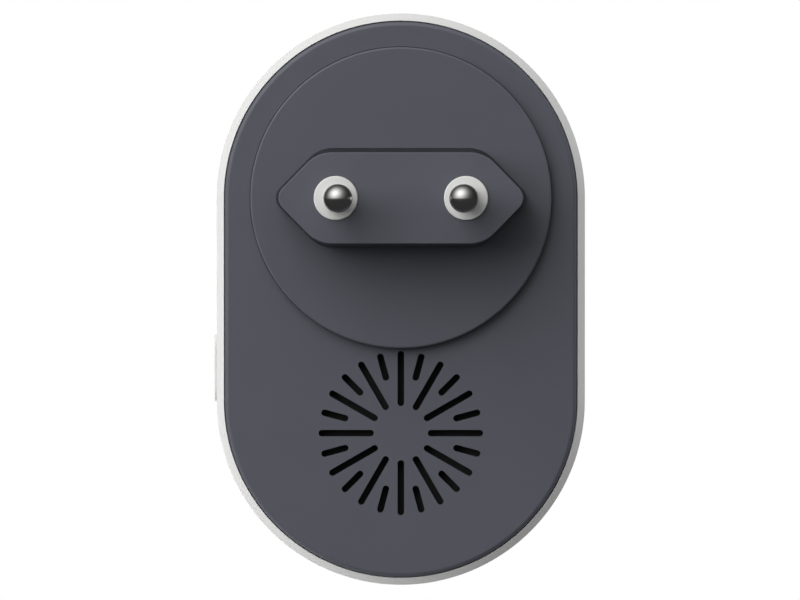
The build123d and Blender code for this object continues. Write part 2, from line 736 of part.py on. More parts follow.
def switch_leg_places():
    """The four legs of the side switch."""
    return [(x, BUTTON_Z + side * SWITCH_LEG_SPREAD) for x in SWITCH_LEG_X for side in (-1, 1)]


def main_board():
    """Circuit board with its screw, lead and leg holes."""
    holes = [(SCREW_HOLE_RADIUS, place) for place in board_screw_places()]
    holes += [(LEAD_HOLE_RADIUS, (side * LEAD_PAD_X, LEAD_PAD_Z)) for side in (-1, 1)]
    holes += [(SOUND_LEAD_HOLE, place) for place in sound_lead_places()]
    holes += [(LEG_HOLE_RADIUS, place) for place in leg_places()]
    outline = pill(BOARD_INSET) - [Pos(*place) * Circle(radius) for radius, place in holes]
    return slab(outline, BOARD_REAR_DEPTH, BOARD_FRONT_DEPTH)


def board_screws():
    """The four short screws that hold the board to the housing."""
    places = board_screw_places()
    return Compound([screw(x, z, BOARD_REAR_DEPTH, True, SHORT_SCREW) for x, z in places])


def film_capacitor():
    """Mains dropper capacitor, a box with rounded edges."""
    body = block_on(BOARD_REAR_DEPTH, FILM_PLACE, FILM_SIZE)
    body = fillet(rear_edges(body), 0.6)
    return joined([body, *legs(pair_of_legs(FILM_PLACE, FILM_LEG_X), BOARD_REAR_DEPTH - 1)])


def round_capacitor(place, radius, height):
    """Electrolytic can with its crimp groove, standing on the board's rear."""
    top = BOARD_REAR_DEPTH - height
    groove = BOARD_REAR_DEPTH - CAN_GROOVE_HEIGHT
    can = fillet(rear_edges(bar(radius, top, BOARD_REAR_DEPTH, *place)), 0.5)
    ring = bar(radius + 1, groove - 0.4, groove + 0.4, *place)
    ring -= bar(radius - CAN_GROOVE_DEPTH, groove - 0.4, groove + 0.4, *place)
    can -= ring
    return joined([can, *legs(pair_of_legs(place, CAPACITOR_LEG_X), BOARD_REAR_DEPTH - 1)])


def varistor():
    """Surge disc standing on edge."""
    x, z = VARISTOR_PLACE
    centre = BOARD_REAR_DEPTH - VARISTOR_STAND - VARISTOR_RADIUS
    bead = Pos(x, -centre, z) * Cylinder(VARISTOR_RADIUS, VARISTOR_THICK)
    bead = fillet(bead.edges().filter_by(GeomType.CIRCLE), 0.8)
    return joined([bead, *legs(pair_of_legs(VARISTOR_PLACE, VARISTOR_LEG_X), centre)])


def fuse_resistor():
    """Fusible resistor lying along the board, on bent legs."""
    x, z = FUSE_PLACE
    centre = BOARD_REAR_DEPTH - FUSE_STAND - FUSE_RADIUS
    body = Pos(x, -centre, z) * Rot(0, 90, 0) * Cylinder(FUSE_RADIUS, FUSE_LENGTH)
    body = fillet(body.edges().filter_by(GeomType.CIRCLE), 0.5)
    reach = 2 * (FUSE_LEG_X + LEG_RADIUS)
    wire = Pos(x, -centre, z) * Box(reach, 2 * LEG_RADIUS, 2 * LEG_RADIUS)
    return joined([body, wire, *legs(pair_of_legs(FUSE_PLACE, FUSE_LEG_X), centre)])


def rectifier_bridge():
    """Four-leg rectifier block."""
    body = block_on(BOARD_REAR_DEPTH, BRIDGE_PLACE, BRIDGE_SIZE)
    body = chamfer(rear_edges(body), 0.4)
    return joined([body, *legs(four_legs(BRIDGE_PLACE, BRIDGE_LEG), BOARD_REAR_DEPTH - 1)])


def driver_transistors():
    """Two tab transistors that drive the transducer."""
    pieces = []
    for place in TRANSISTOR_PLACES:
        tab = (place[0], place[1] + (TRANSISTOR_SIZE[1] + TRANSISTOR_TAB[1]) / 2)
        body = chamfer(rear_edges(block_on(BOARD_REAR_DEPTH, place, TRANSISTOR_SIZE)), 0.3)
        pieces.append(body + block_on(BOARD_REAR_DEPTH, tab, TRANSISTOR_TAB))
    return Compound(pieces)


def core_half(yoke_start, leg_start, leg_end):
    """One E half of the transformer core."""
    x, z = CORE_PLACE
    leg_x = (CORE_WIDTH - CORE_LEG) / 2
    half = block(CORE_WIDTH, CORE_THICK, yoke_start, yoke_start + CORE_YOKE, x, z)
    half += block(CORE_CENTRE_LEG, CORE_THICK, leg_start, leg_end, x, z)
    for side in (-1, 1):
        half += block(CORE_LEG, CORE_THICK, leg_start, leg_end, x + side * leg_x, z)
    return half


def transformer_core():
    """Two ferrite E halves that meet at a small air gap."""
    middle = CORE_REAR_DEPTH + CORE_HEIGHT / 2
    rear = core_half(CORE_REAR_DEPTH, CORE_REAR_DEPTH, middle - CORE_AIR_GAP / 2)
    front_yoke = BOARD_REAR_DEPTH - CORE_YOKE
    front = core_half(front_yoke, middle + CORE_AIR_GAP / 2, BOARD_REAR_DEPTH)
    return Compound([rear, front])


def bobbin_section(wall):
    """Width and height of the square tube about the centre leg, grown by a wall."""
    grow = 2 * (BOBBIN_GAP + wall)
    return CORE_CENTRE_LEG + grow, CORE_THICK + grow


def transformer_bobbin():
    """Plastic bobbin with two terminal blocks."""
    x, z = CORE_PLACE
    start = CORE_REAR_DEPTH + CORE_YOKE + BOBBIN_GAP
    end = BOARD_REAR_DEPTH - CORE_YOKE - BOBBIN_GAP
    bobbin = block(*bobbin_section(BOBBIN_WALL), start, end, x, z)
    bobbin += block(*BOBBIN_FLANGE_SIZE, start, start + BOBBIN_FLANGE, x, z)
    bobbin += block(*BOBBIN_FLANGE_SIZE, end - BOBBIN_FLANGE, end, x, z)
    for side in (-1, 1):
        place = (x, z + side * BOBBIN_BASE_Z)
        bobbin += block_on(BOARD_REAR_DEPTH, place, BOBBIN_BASE)
    bobbin -= block(*bobbin_section(0), start - 1, end + 1, x, z)
    room = CORE_THICK + 2 * BOBBIN_GAP
    bobbin -= block(CORE_WIDTH + 1, room, end, BOARD_REAR_DEPTH + 1, x, z)
    places = four_legs(CORE_PLACE, (BOBBIN_LEG_X, BOBBIN_BASE_Z))
    return joined([bobbin, *legs(places, BOARD_REAR_DEPTH - 1)])


def transformer_winding():
    """Copper winding on the bobbin."""
    x, z = CORE_PLACE
    start = CORE_REAR_DEPTH + CORE_YOKE + 2 * BOBBIN_GAP + BOBBIN_FLANGE
    end = BOARD_REAR_DEPTH - CORE_YOKE - 2 * BOBBIN_GAP - BOBBIN_FLANGE
    coil = bar(WINDING_RADIUS, start, end, x, z)
    return coil - block(*bobbin_section(BOBBIN_WALL + BOBBIN_GAP), start, end, x, z)


def controller_chip():
    """Controller in a small-outline package, on the board's front."""
    x, z = CHIP_PLACE
    width, height, thick = CHIP_SIZE
    start = BOARD_FRONT_DEPTH + CHIP_STAND
    body = block(width, height, start, start + thick, x, z)
    body = chamfer(front_edges(body), 0.25)
    leg_width, leg_span, leg_thick = CHIP_LEG_SIZE
    for index in range(CHIP_LEGS):
        leg_x = x + (index - (CHIP_LEGS - 1) / 2) * CHIP_LEG_PITCH
        leg_end = BOARD_FRONT_DEPTH + leg_thick
        body += block(leg_width, leg_span, BOARD_FRONT_DEPTH, leg_end, leg_x, z)
    return body


def chip_resistors():
    """Grid of surface-mount resistors on the board's front."""
    pieces = []
    width, height, thick = RESISTOR_SIZE
    for place in GridLocations(*RESISTOR_PITCH, *RESISTOR_GRID):
        x = RESISTOR_CENTRE[0] + place.position.X
        z = RESISTOR_CENTRE[1] + place.position.Y
        pieces.append(block(width, height, BOARD_FRONT_DEPTH, BOARD_FRONT_DEPTH + thick, x, z))
    return Compound(pieces)


def indicator_led():
    """Round indicator on the board's front, facing the window."""
    tip = BOARD_FRONT_DEPTH + LED_HEIGHT
    lens = fillet(front_edges(bar(LED_RADIUS, BOARD_FRONT_DEPTH, tip)), LED_RADIUS - 0.1)
    flange = bar(LED_FLANGE_RADIUS, BOARD_FRONT_DEPTH, BOARD_FRONT_DEPTH + LED_FLANGE_THICK)
    start = BOARD_REAR_DEPTH - 0.8
    wires = [
        bar(LEG_RADIUS, start, BOARD_FRONT_DEPTH + 0.5, x, z)
        for x, z in pair_of_legs((0.0, 0.0), LED_LEG_X)
    ]
    return joined([lens, flange, *wires])


def mains_lead(side):
    """Insulated lead from one pin's tail to the board."""
    tail = pin_frame(side) * Pos(0, -PIN_TAIL_DEPTH, 0)
    start = Vector(tail.position.X, tail.position.Y, 0)
    first_knee, second_knee = LEAD_KNEE_DEPTHS
    pad_x = side * LEAD_PAD_X
    drift = (first_knee - PIN_TAIL_DEPTH) * math.tan(math.radians(PIN_TILT))
    points = [
        start,
        Vector(start.X + side * drift, -first_knee, 0),
        Vector(pad_x, -second_knee, LEAD_PAD_Z),
        Vector(pad_x, -LEG_END_DEPTH, LEAD_PAD_Z),
    ]
    route = FilletPolyline(*points, radius=LEAD_BEND)
    section = Plane(route @ 0, z_dir=route % 0) * Circle(LEAD_RADIUS)
    return sweep(section, path=route)


# ---- Side switch --------------------------------------------------------------------------


def side_button():
    """White push button, held behind the wall by its flange, with a stem for the switch."""
    wall_inner = BODY_WIDTH / 2 - SHELL_WALL
    flange_outer = wall_inner - BUTTON_FLANGE_GAP
    flange_inner = flange_outer - BUTTON_FLANGE_THICK
    face = BODY_WIDTH / 2 + BUTTON_PROUD
    cap = side_bar(obround(BUTTON_LENGTH, BUTTON_WIDTH), flange_inner, face)
    cap = fillet(cap.edges().group_by(Axis.X)[-1], BUTTON_EDGE_ROUND)
    grow = 2 * BUTTON_FLANGE
    cap += side_bar(obround(BUTTON_LENGTH + grow, BUTTON_WIDTH + grow), flange_inner, flange_outer)
    stem_start = SWITCH_FACE_X + PLUNGER_REACH + PLUNGER_GAP
    return cap + side_bar(Circle(BUTTON_STEM_RADIUS), stem_start, flange_inner)


def plunger_inner_x():
    """Inner end of the plunger when it isn't pressed."""
    return SWITCH_FACE_X + PLUNGER_REACH - PLUNGER_LENGTH


def well_floor_x():
    """Floor of the switch's well: room for the dome and the plunger's travel."""
    return plunger_inner_x() - PLUNGER_TRAVEL - PLUNGER_GAP - DOME_RISE - DOME_THICK


def switch_body():
    """Side-press switch standing on the board's rear."""
    middle_x = (SWITCH_INNER_X + SWITCH_FACE_X) / 2
    width = SWITCH_FACE_X - SWITCH_INNER_X
    body = block(width, SWITCH_WIDTH, SWITCH_REAR_DEPTH, BOARD_REAR_DEPTH, middle_x, BUTTON_Z)
    return body - side_bar(Circle(PLUNGER_RADIUS + PLUNGER_FIT), well_floor_x(), SWITCH_FACE_X + 1)


def switch_plunger():
    """Round plunger between the button's stem and the dome."""
    face = SWITCH_FACE_X + PLUNGER_REACH
    plunger = side_bar(Circle(PLUNGER_RADIUS), plunger_inner_x(), face)
    return chamfer(plunger.edges().group_by(Axis.X)[-1], 0.2)


def switch_dome():
    """Thin metal dome that snaps under the plunger."""
    arc = ThreePointArc((0, DOME_RISE), (DOME_RADIUS / 2, DOME_RISE * 0.75), (DOME_RADIUS, 0))
    lower = arc.moved(Pos(0, DOME_THICK))
    sides = [Line(arc @ 0, lower @ 0), Line(arc @ 1, lower @ 1)]
    dome = revolve(make_face([arc, lower, *sides]), Axis.Y)
    place = Pos(well_floor_x(), -BUTTON_DEPTH, BUTTON_Z) * Rot(0, 0, -90)
    return place * dome


def switch_terminals():
    """Four flat legs from the switch through the board."""
    width = SWITCH_LEG_WIDTH
    places = switch_leg_places()
    return Compound([block(width, width, BOARD_REAR_DEPTH, LEG_END_DEPTH, x, z) for x, z in places])


# ---- Export -------------------------------------------------------------------------------

NODES = {
    "front_shell": front_shell(),
    "rear_cover": rear_cover(),
    "plug_carrier": plug_carrier(),
    "plug_pin_left": plug_pin(1),
    "plug_pin_right": plug_pin(-1),
    "pin_sleeve_left": pin_sleeve(1),
    "pin_sleeve_right": pin_sleeve(-1),
    "pin_retainer": pin_retainer(),
    "carrier_screws": carrier_screws(),
    "grille_cloth": grille_cloth(),
    "transducer_gasket": transducer_gasket(),
    "transducer_can": transducer_can(),
    "transducer_plate": transducer_plate(),
    "transducer_ceramic": transducer_ceramic(),
    "transducer_cone": transducer_cone(),
    "transducer_clamp": transducer_clamp(),
    "clamp_screws": clamp_screws(),
    "transducer_leads": transducer_leads(),
    "main_board": main_board(),
    "board_screws": board_screws(),
    "film_capacitor": film_capacitor(),
    "bulk_capacitor": round_capacitor(BULK_PLACE, BULK_RADIUS, BULK_HEIGHT),
    "output_capacitor": round_capacitor(OUTPUT_PLACE, OUTPUT_RADIUS, OUTPUT_HEIGHT),
    "varistor": varistor(),
    "fuse_resistor": fuse_resistor(),
    "rectifier_bridge": rectifier_bridge(),
    "driver_transistors": driver_transistors(),
    "transformer_core": transformer_core(),
    "transformer_bobbin": transformer_bobbin(),
    "transformer_winding": transformer_winding(),
    "controller_chip": controller_chip(),
    "chip_resistors": chip_resistors(),
    "indicator_led": indicator_led(),
    "light_pipe": light_pipe(),
    "mains_lead_left": mains_lead(1),
    "mains_lead_right": mains_lead(-1),
    "side_button": side_button(),
    "switch_body": switch_body(),
    "switch_plunger": switch_plunger(),
    "switch_dome": switch_dome(),
    "switch_terminals": switch_terminals(),
}

os.makedirs("parts", exist_ok=True)
for name, shape in NODES.items():
    export_step(shape, f"parts/{name}.step")
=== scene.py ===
"""A plug-in ultrasonic pest repeller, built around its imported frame."""

import logging
import math
from dataclasses import dataclass, field
from enum import Enum
from typing import Iterable, Sequence

import bmesh
import bpy
from mathutils import Matrix, Vector


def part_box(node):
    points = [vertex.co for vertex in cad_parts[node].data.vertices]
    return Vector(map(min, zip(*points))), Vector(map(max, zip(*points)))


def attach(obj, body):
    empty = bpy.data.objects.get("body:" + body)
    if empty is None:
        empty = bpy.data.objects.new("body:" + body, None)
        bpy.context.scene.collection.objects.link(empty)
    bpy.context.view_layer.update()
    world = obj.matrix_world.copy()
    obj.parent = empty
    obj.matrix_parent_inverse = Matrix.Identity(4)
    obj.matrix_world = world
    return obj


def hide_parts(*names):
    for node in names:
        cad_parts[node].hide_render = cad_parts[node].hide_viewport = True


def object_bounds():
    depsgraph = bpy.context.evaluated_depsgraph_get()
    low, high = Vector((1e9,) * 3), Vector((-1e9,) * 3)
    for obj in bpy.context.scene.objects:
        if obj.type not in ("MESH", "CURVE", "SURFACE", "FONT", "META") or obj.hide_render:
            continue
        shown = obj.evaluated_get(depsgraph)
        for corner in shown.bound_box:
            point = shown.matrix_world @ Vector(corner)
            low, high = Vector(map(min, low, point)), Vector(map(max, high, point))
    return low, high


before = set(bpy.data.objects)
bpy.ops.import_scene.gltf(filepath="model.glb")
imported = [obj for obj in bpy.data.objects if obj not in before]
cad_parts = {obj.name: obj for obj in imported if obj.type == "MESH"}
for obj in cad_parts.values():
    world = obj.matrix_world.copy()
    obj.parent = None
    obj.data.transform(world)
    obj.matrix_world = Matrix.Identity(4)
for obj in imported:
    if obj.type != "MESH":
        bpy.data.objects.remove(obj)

log = logging.getLogger("pest_repeller")
CAD_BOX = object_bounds()
MM = 0.001

SIDES = (-1, 1)
PAST = 1.0 * MM  # how far a cutting solid reaches past what it cuts
OVERLAP = 0.5 * MM  # how far an added solid reaches into what it is added to
SHARP_ANGLE = 38.0  # degrees between two faces from which their edge stays sharp
FOLD_ANGLE = 30.0  # degrees between two faces from which their edge can be rounded
FLAT_ANGLE = 0.05  # degrees within which two faces count as one
SAME_POINT = 1e-8
WELD = 1e-7
END_SHARE = 0.4999  # radius of a slot's end as a share of its width
NOISE_RANGE = (0.3, 0.7)  # what nearly all of a noise pattern lies between

Point = tuple[float, float]
Colour = tuple[float, float, float]
Piece = bpy.types.Object
Socket = bpy.types.NodeSocket
Inputs = dict[str | int, object]


class Facing(Enum):
    """Which way an outline looks, and so which way its level grows."""

    DEPTH = "forward from the plug face, along -Y"
    SIDE = "outward through the side wall, along +X"


class Cut(Enum):
    """What one solid does to another."""

    REMOVE = "DIFFERENCE"
    ADD = "UNION"


# ---- Shapes ---------------------------------------------------------------------------------


def soft_path(*corners: tuple[float, float, float], steps: int = 6) -> list[Point]:
    """Rounds the corners of an open path.

    Args:
        corners: Points of the path, each with the radius of its corner, 0 for a sharp one.
        steps: Segments in each rounded corner.

    Returns:
        The path's points.
    """
    path: list[Point] = []
    for index, (x, y, radius) in enumerate(corners):
        here = Vector((x, y))
        if radius <= 0 or index in (0, len(corners) - 1):
            path.append((x, y))
            continue
        back = (Vector(corners[index - 1][:2]) - here).normalized()
        ahead = (Vector(corners[index + 1][:2]) - here).normalized()
        half = back.angle(ahead) / 2
        centre = here + (back + ahead).normalized() * (radius / math.sin(half))
        start = here + back * (radius / math.tan(half)) - centre
        sweep = math.pi - 2 * half
        turn = 1 if back.x * ahead.y - back.y * ahead.x < 0 else -1
        for step in range(steps + 1):
            arm = Matrix.Rotation(turn * sweep * step / steps, 2) @ start
            path.append((centre.x + arm.x, centre.y + arm.y))
    return path


@dataclass(frozen=True)
class Arc:
    """One round stretch of an outline, anticlockwise, angles in degrees."""

    x: float
    z: float
    radius: float
    start: float
    end: float


@dataclass(frozen=True)
class Outline:
    """A closed outline of arcs joined by straight runs, which can be grown or shrunk."""

    arcs: tuple[Arc, ...]
    arc_steps: int = 24
    run_steps: int = 1
    facing: Facing = Facing.DEPTH

    def points(self, grow: float = 0.0) -> list[Point]:
        """Points round the outline.

        Args:
            grow: How far the outline is moved outwards.

        Returns:
            The points, anticlockwise.
        """
        found: list[Point] = []
        for index, arc in enumerate(self.arcs):
            closes = abs(arc.end - arc.start) >= 360
            for step in range(self.arc_steps + (0 if closes else 1)):
                angle = math.radians(arc.start + (arc.end - arc.start) * step / self.arc_steps)
                reach = arc.radius + grow
                found.append((arc.x + reach * math.cos(angle), arc.z + reach * math.sin(angle)))
            if closes:
                continue
            after = self.arcs[(index + 1) % len(self.arcs)]
            angle = math.radians(after.start)
            reach = after.radius + grow
            goal = Vector((after.x + reach * math.cos(angle), after.z + reach * math.sin(angle)))
            last = Vector(found[-1])
            for step in range(1, self.run_steps):
                found.append(tuple(last.lerp(goal, step / self.run_steps)))
        return found

    def ring(self, grow: float, level: float) -> list[Vector]:
        """The outline in space.

        Args:
            grow: How far the outline is moved outwards.
            level: Where it lies along the direction that it faces.

        Returns:
            One point in space for each point of the outline.
        """
        if self.facing is Facing.SIDE:
            return [Vector((level, u, v)) for u, v in self.points(grow)]
        return [Vector((u, -level, v)) for u, v in self.points(grow)]


def circle(radius: float, x: float = 0.0, z: float = 0.0, steps: int = 96) -> Outline:
    """A round outline about a centre, in so many straight steps."""
    return Outline((Arc(x, z, radius, 0, 360),), arc_steps=steps)


def four_places(offset: float) -> list[Vector]:
    """The four places that stand an offset across and an offset up or down from the middle."""
    return [Vector((i * offset, 0, j * offset)) for i in SIDES for j in SIDES]


def upright_obround(length: float, width: float, u: float, v: float, facing: Facing) -> Outline:
    """An upright outline with round ends.

    Args:
        length: Overall length.
        width: Overall width.
        u: Centre across.
        v: Centre height.
        facing: Which way the outline looks.

    Returns:
        The outline.
    """
    radius = width / 2
    half = length / 2 - radius
    ends = (Arc(u, v + half, radius, 0, 180), Arc(u, v - half, radius, 180, 360))
    return Outline(ends, arc_steps=20, run_steps=4, facing=facing)


def box_outline(width: float, height: float, x: float, z: float, round_: float) -> Outline:
    """A rectangular outline with round corners.

    Args:
        width: Overall width.
        height: Overall height.
        x: Centre across.
        z: Centre height.
        round_: Radius of the corners.

    Returns:
        The outline.
    """
    a, b = width / 2 - round_, height / 2 - round_
    corners = ((a, b, 0), (-a, b, 90), (-a, -b, 180), (a, -b, 270))
    arcs = tuple(Arc(x + i, z + j, round_, turn, turn + 90) for i, j, turn in corners)
    return Outline(arcs, arc_steps=6)


def linked(name: str, points: Sequence[Sequence[float]], faces: Sequence[Sequence[int]]) -> Piece:
    """Makes a mesh object and links it to the scene.

    Args:
        name: The object's name.
        points: Vertices.
        faces: Vertex numbers of each face.

    Returns:
        The object.
    """
    mesh = bpy.data.meshes.new(name)
    mesh.from_pydata(points, [], faces)
    piece = bpy.data.objects.new(name, mesh)
    bpy.context.scene.collection.objects.link(piece)
    return piece


def mesh_object(name: str, points: Sequence[Vector], faces: Sequence[Sequence[int]]) -> Piece:
    """Makes a closed mesh object with its faces outwards.

    Args:
        name: The object's name.
        points: Vertices.
        faces: Vertex numbers of each face.

    Returns:
        The object.
    """
    piece = linked(name, [tuple(point) for point in points], faces)
    work = bmesh.new()
    work.from_mesh(piece.data)
    bmesh.ops.remove_doubles(work, verts=work.verts, dist=SAME_POINT)
    bmesh.ops.recalc_face_normals(work, faces=work.faces)
    work.to_mesh(piece.data)
    work.free()
    return piece


def lofted(name: str, outline: Outline, path: Sequence[Point], tube: bool = False) -> Piece:
    """A solid whose outline grows and shrinks along a path of (grow, level) points."""
    return skinned(name, [outline.ring(grow, level) for grow, level in path], tube)


def skinned(name: str, rings: Sequence[Sequence[Vector]], tube: bool = False) -> Piece:
    """A solid through rings of equally many points.

    Args:
        name: The object's name.
        rings: The rings, in order.
        tube: Join the last ring to the first in place of closing both ends.

    Returns:
        The solid.
    """
    count = len(rings[0])
    points = [point for ring in rings for point in ring]
    faces: list[list[int]] = []
    pairs = len(rings) if tube else len(rings) - 1
    for index in range(pairs):
        low, high = index * count, (index + 1) % len(rings) * count
        for step in range(count):
            after = (step + 1) % count
            faces.append([low + step, low + after, high + after, high + step])
    if not tube:
        faces.append(list(range(count)))
        faces.append(list(range((len(rings) - 1) * count, len(rings) * count)))
    return mesh_object(name, points, faces)


def prism(name: str, outline: Outline, start: float, end: float) -> Piece:
    """A plain solid of one outline between two levels."""
    return lofted(name, outline, ((0.0, start), (0.0, end)))


def turned(name: str, path: Sequence[Point], ring: bool = False, steps: int = 72) -> Piece:
    """A solid of revolution about the Y axis.

    Args:
        name: The object's name.
        path: (radius, depth) points; an open path starts and ends on the axis.
        ring: The path is closed and stays clear of the axis.
        steps: Segments round it.

    Returns:
        The solid.
    """
    if ring:
        return lofted(name, circle(0.0, steps=steps), path, tube=True)
    inside = path[1:-1]
    piece = lofted(name, circle(0.0, steps=steps), inside)
    work = bmesh.new()
    work.from_mesh(piece.data)
    ends = sorted(work.faces, key=lambda face: -len(face.verts))[:2]
    for cap in ends:
        middle = Vector((0, cap.calc_center_median().y, 0))
        depth = min((path[0][1], path[-1][1]), key=lambda d: abs(-d - middle.y))
        made = bmesh.ops.poke(work, faces=[cap])
        made["verts"][0].co = Vector((0, -depth, 0))
    bmesh.ops.recalc_face_normals(work, faces=work.faces)
    work.to_mesh(piece.data)
    work.free()
    return piece


def flattened(piece: Piece) -> Piece:
    """Turns a piece with modifiers into a plain mesh.

    Args:
        piece: The piece.

    Returns:
        The same piece, with no modifiers.
    """
    graph = bpy.context.evaluated_depsgraph_get()
    graph.update()
    mesh = bpy.data.meshes.new_from_object(piece.evaluated_get(graph))
    piece.modifiers.clear()
    piece.data = mesh
    return piece


def worked(piece: Piece, tool: Piece, cut: Cut) -> Piece:
    """Adds a tool solid to a piece or takes it away, and discards the tool.

    Args:
        piece: The piece that is worked on.
        tool: The solid that is added or removed.
        cut: Which of the two.

    Returns:
        The piece.
    """
    step = piece.modifiers.new("work", "BOOLEAN")
    step.operation = cut.value
    step.solver = "MANIFOLD"
    step.object = tool
    flattened(piece)
    bpy.data.objects.remove(tool)
    return piece


def eased(piece: Piece, width: float, chosen: "EdgeTest", segments: int = 3) -> Piece:
    """Rounds the chosen edges of a piece.

    Args:
        piece: The piece.
        width: How far the rounding reaches from the edge.
        chosen: Says which edges are rounded.
        segments: Segments across the rounding.

    Returns:
        The piece.
    """
    work = bmesh.new()
    work.from_mesh(piece.data)
    flat = math.radians(FLAT_ANGLE)
    bmesh.ops.dissolve_limit(work, angle_limit=flat, verts=work.verts, edges=work.edges)
    weights = work.edges.layers.float.get("bevel_weight_edge")
    weights = weights or work.edges.layers.float.new("bevel_weight_edge")
    for edge in work.edges:
        folded = edge.calc_face_angle(0.0) > math.radians(FOLD_ANGLE)
        near = all(chosen.takes(vertex.co) for vertex in edge.verts)
        edge[weights] = 1.0 if folded and near else 0.0
    work.to_mesh(piece.data)
    work.free()
    step = piece.modifiers.new("ease", "BEVEL")
    step.limit_method = "WEIGHT"
    step.width = width
    step.segments = segments
    step.use_clamp_overlap = True
    step.loop_slide = True
    flattened(piece)
    left = piece.data.attributes.get("bevel_weight_edge")
    if left is not None:
        piece.data.attributes.remove(left)
    return piece


@dataclass(frozen=True)
class EdgeTest:
    """Takes edges that lie on one depth, inside a ring about a centre."""

    depth: float
    x: float
    z: float
    inner: float
    outer: float
    tolerance: float = 2e-6

    def takes(self, point: Vector) -> bool:
        """Whether one end of an edge is in the chosen ring.

        Args:
            point: The end of the edge.

        Returns:
            True if it is.
        """
        if abs(point.y + self.depth) > self.tolerance:
            return False
        reach = math.hypot(point.x - self.x, point.z - self.z)
        return self.inner <= reach <= self.outer


# ---- Geometry Nodes -------------------------------------------------------------------------


class Tree:
    """A node tree that is built one node at a time."""

    prefix = "ShaderNode"

    def __init__(self, tree: bpy.types.NodeTree) -> None:
        """Takes over a tree and empties it."""
        self.tree = tree
        tree.nodes.clear()

    def feed(self, node: bpy.types.Node, inputs: Inputs) -> None:
        """Sets or links a node's inputs.

        Args:
            node: The node.
            inputs: Input name or number to a value or to the socket that feeds it.
        """
        for key, value in inputs.items():
            if isinstance(value, Socket):
                self.tree.links.new(value, node.inputs[key])
            else:
                node.inputs[key].default_value = value

    def node(self, kind: str, inputs: Inputs | None = None, **settings: object) -> bpy.types.Node:
        """Adds a node.

        Args:
            kind: The node's type, which may leave out the tree's own prefix.
            inputs: As for feed.
            settings: Properties of the node.

        Returns:
            The node.
        """
        made = self.tree.nodes.new(kind if kind.startswith("Shader") else self.prefix + kind)
        for key, value in settings.items():
            setattr(made, key, value)
        self.feed(made, inputs or {})
        return made

    def maths(self, operation: str, *terms: object) -> Socket:
        """Adds one sum of numbers or sockets and gives its result."""
        return self.node("ShaderNodeMath", dict(enumerate(terms)), operation=operation).outputs[0]


class Recipe(Tree):
    """A Geometry Nodes tree with named inputs."""

    prefix = "GeometryNode"

    def __init__(self, name: str) -> None:
        """Starts a tree that takes and gives geometry.

        Args:
            name: The tree's name.
        """
        super().__init__(bpy.data.node_groups.new(name, "GeometryNodeTree"))
        self.tree.is_modifier = True
        self.sockets: dict[str, str] = {}
        kind = "NodeSocketGeometry"
        for side in ("INPUT", "OUTPUT"):
            self.tree.interface.new_socket("Geometry", in_out=side, socket_type=kind)
        self.inputs = self.tree.nodes.new("NodeGroupInput")
        self.output = self.tree.nodes.new("NodeGroupOutput")

    def size(self, name: str, kind: str = "Float") -> Socket:
        """Adds a named input.

        Args:
            name: The input's name.
            kind: Float, Int, Vector, Object or Material.

        Returns:
            The socket that gives its value inside the tree.
        """
        made = self.tree.interface.new_socket(name, in_out="INPUT", socket_type=f"NodeSocket{kind}")
        self.sockets[name] = made.identifier
        return self.inputs.outputs[made.name]

    def joined(self, *shapes: Socket) -> Socket:
        """Joins shapes into one geometry.

        Args:
            shapes: The shapes.

        Returns:
            The joined geometry.
        """
        made = self.node("JoinGeometry")
        for shape in shapes:
            self.tree.links.new(shape, made.inputs[0])
        return made.outputs[0]

    def close(self, shape: Socket) -> None:
        """Ends the tree in Realize Instances and Set Material.

        Args:
            shape: The geometry that the tree makes.
        """
        finish = self.size("Finish", "Material")
        real = self.node("RealizeInstances", {"Geometry": shape})
        dressed = self.node("SetMaterial", {"Geometry": real.outputs[0], "Material": finish})
        self.feed(self.output, {0: dressed.outputs[0]})

    def make(self, name: str, values: dict[str, object], places: Iterable[Vector] = ()) -> Piece:
        """Runs the tree once and keeps what it made as a plain mesh.

        Args:
            name: The new object's name.
            values: Input name to value.
            places: Points that the tree starts from, where it needs them.

        Returns:
            The new object.
        """
        piece = linked(name, [tuple(place) for place in places], [])
        step = piece.modifiers.new("recipe", "NODES")
        step.node_group = self.tree
        for key, value in values.items():
            step[self.sockets[key]] = value
        return flattened(piece)


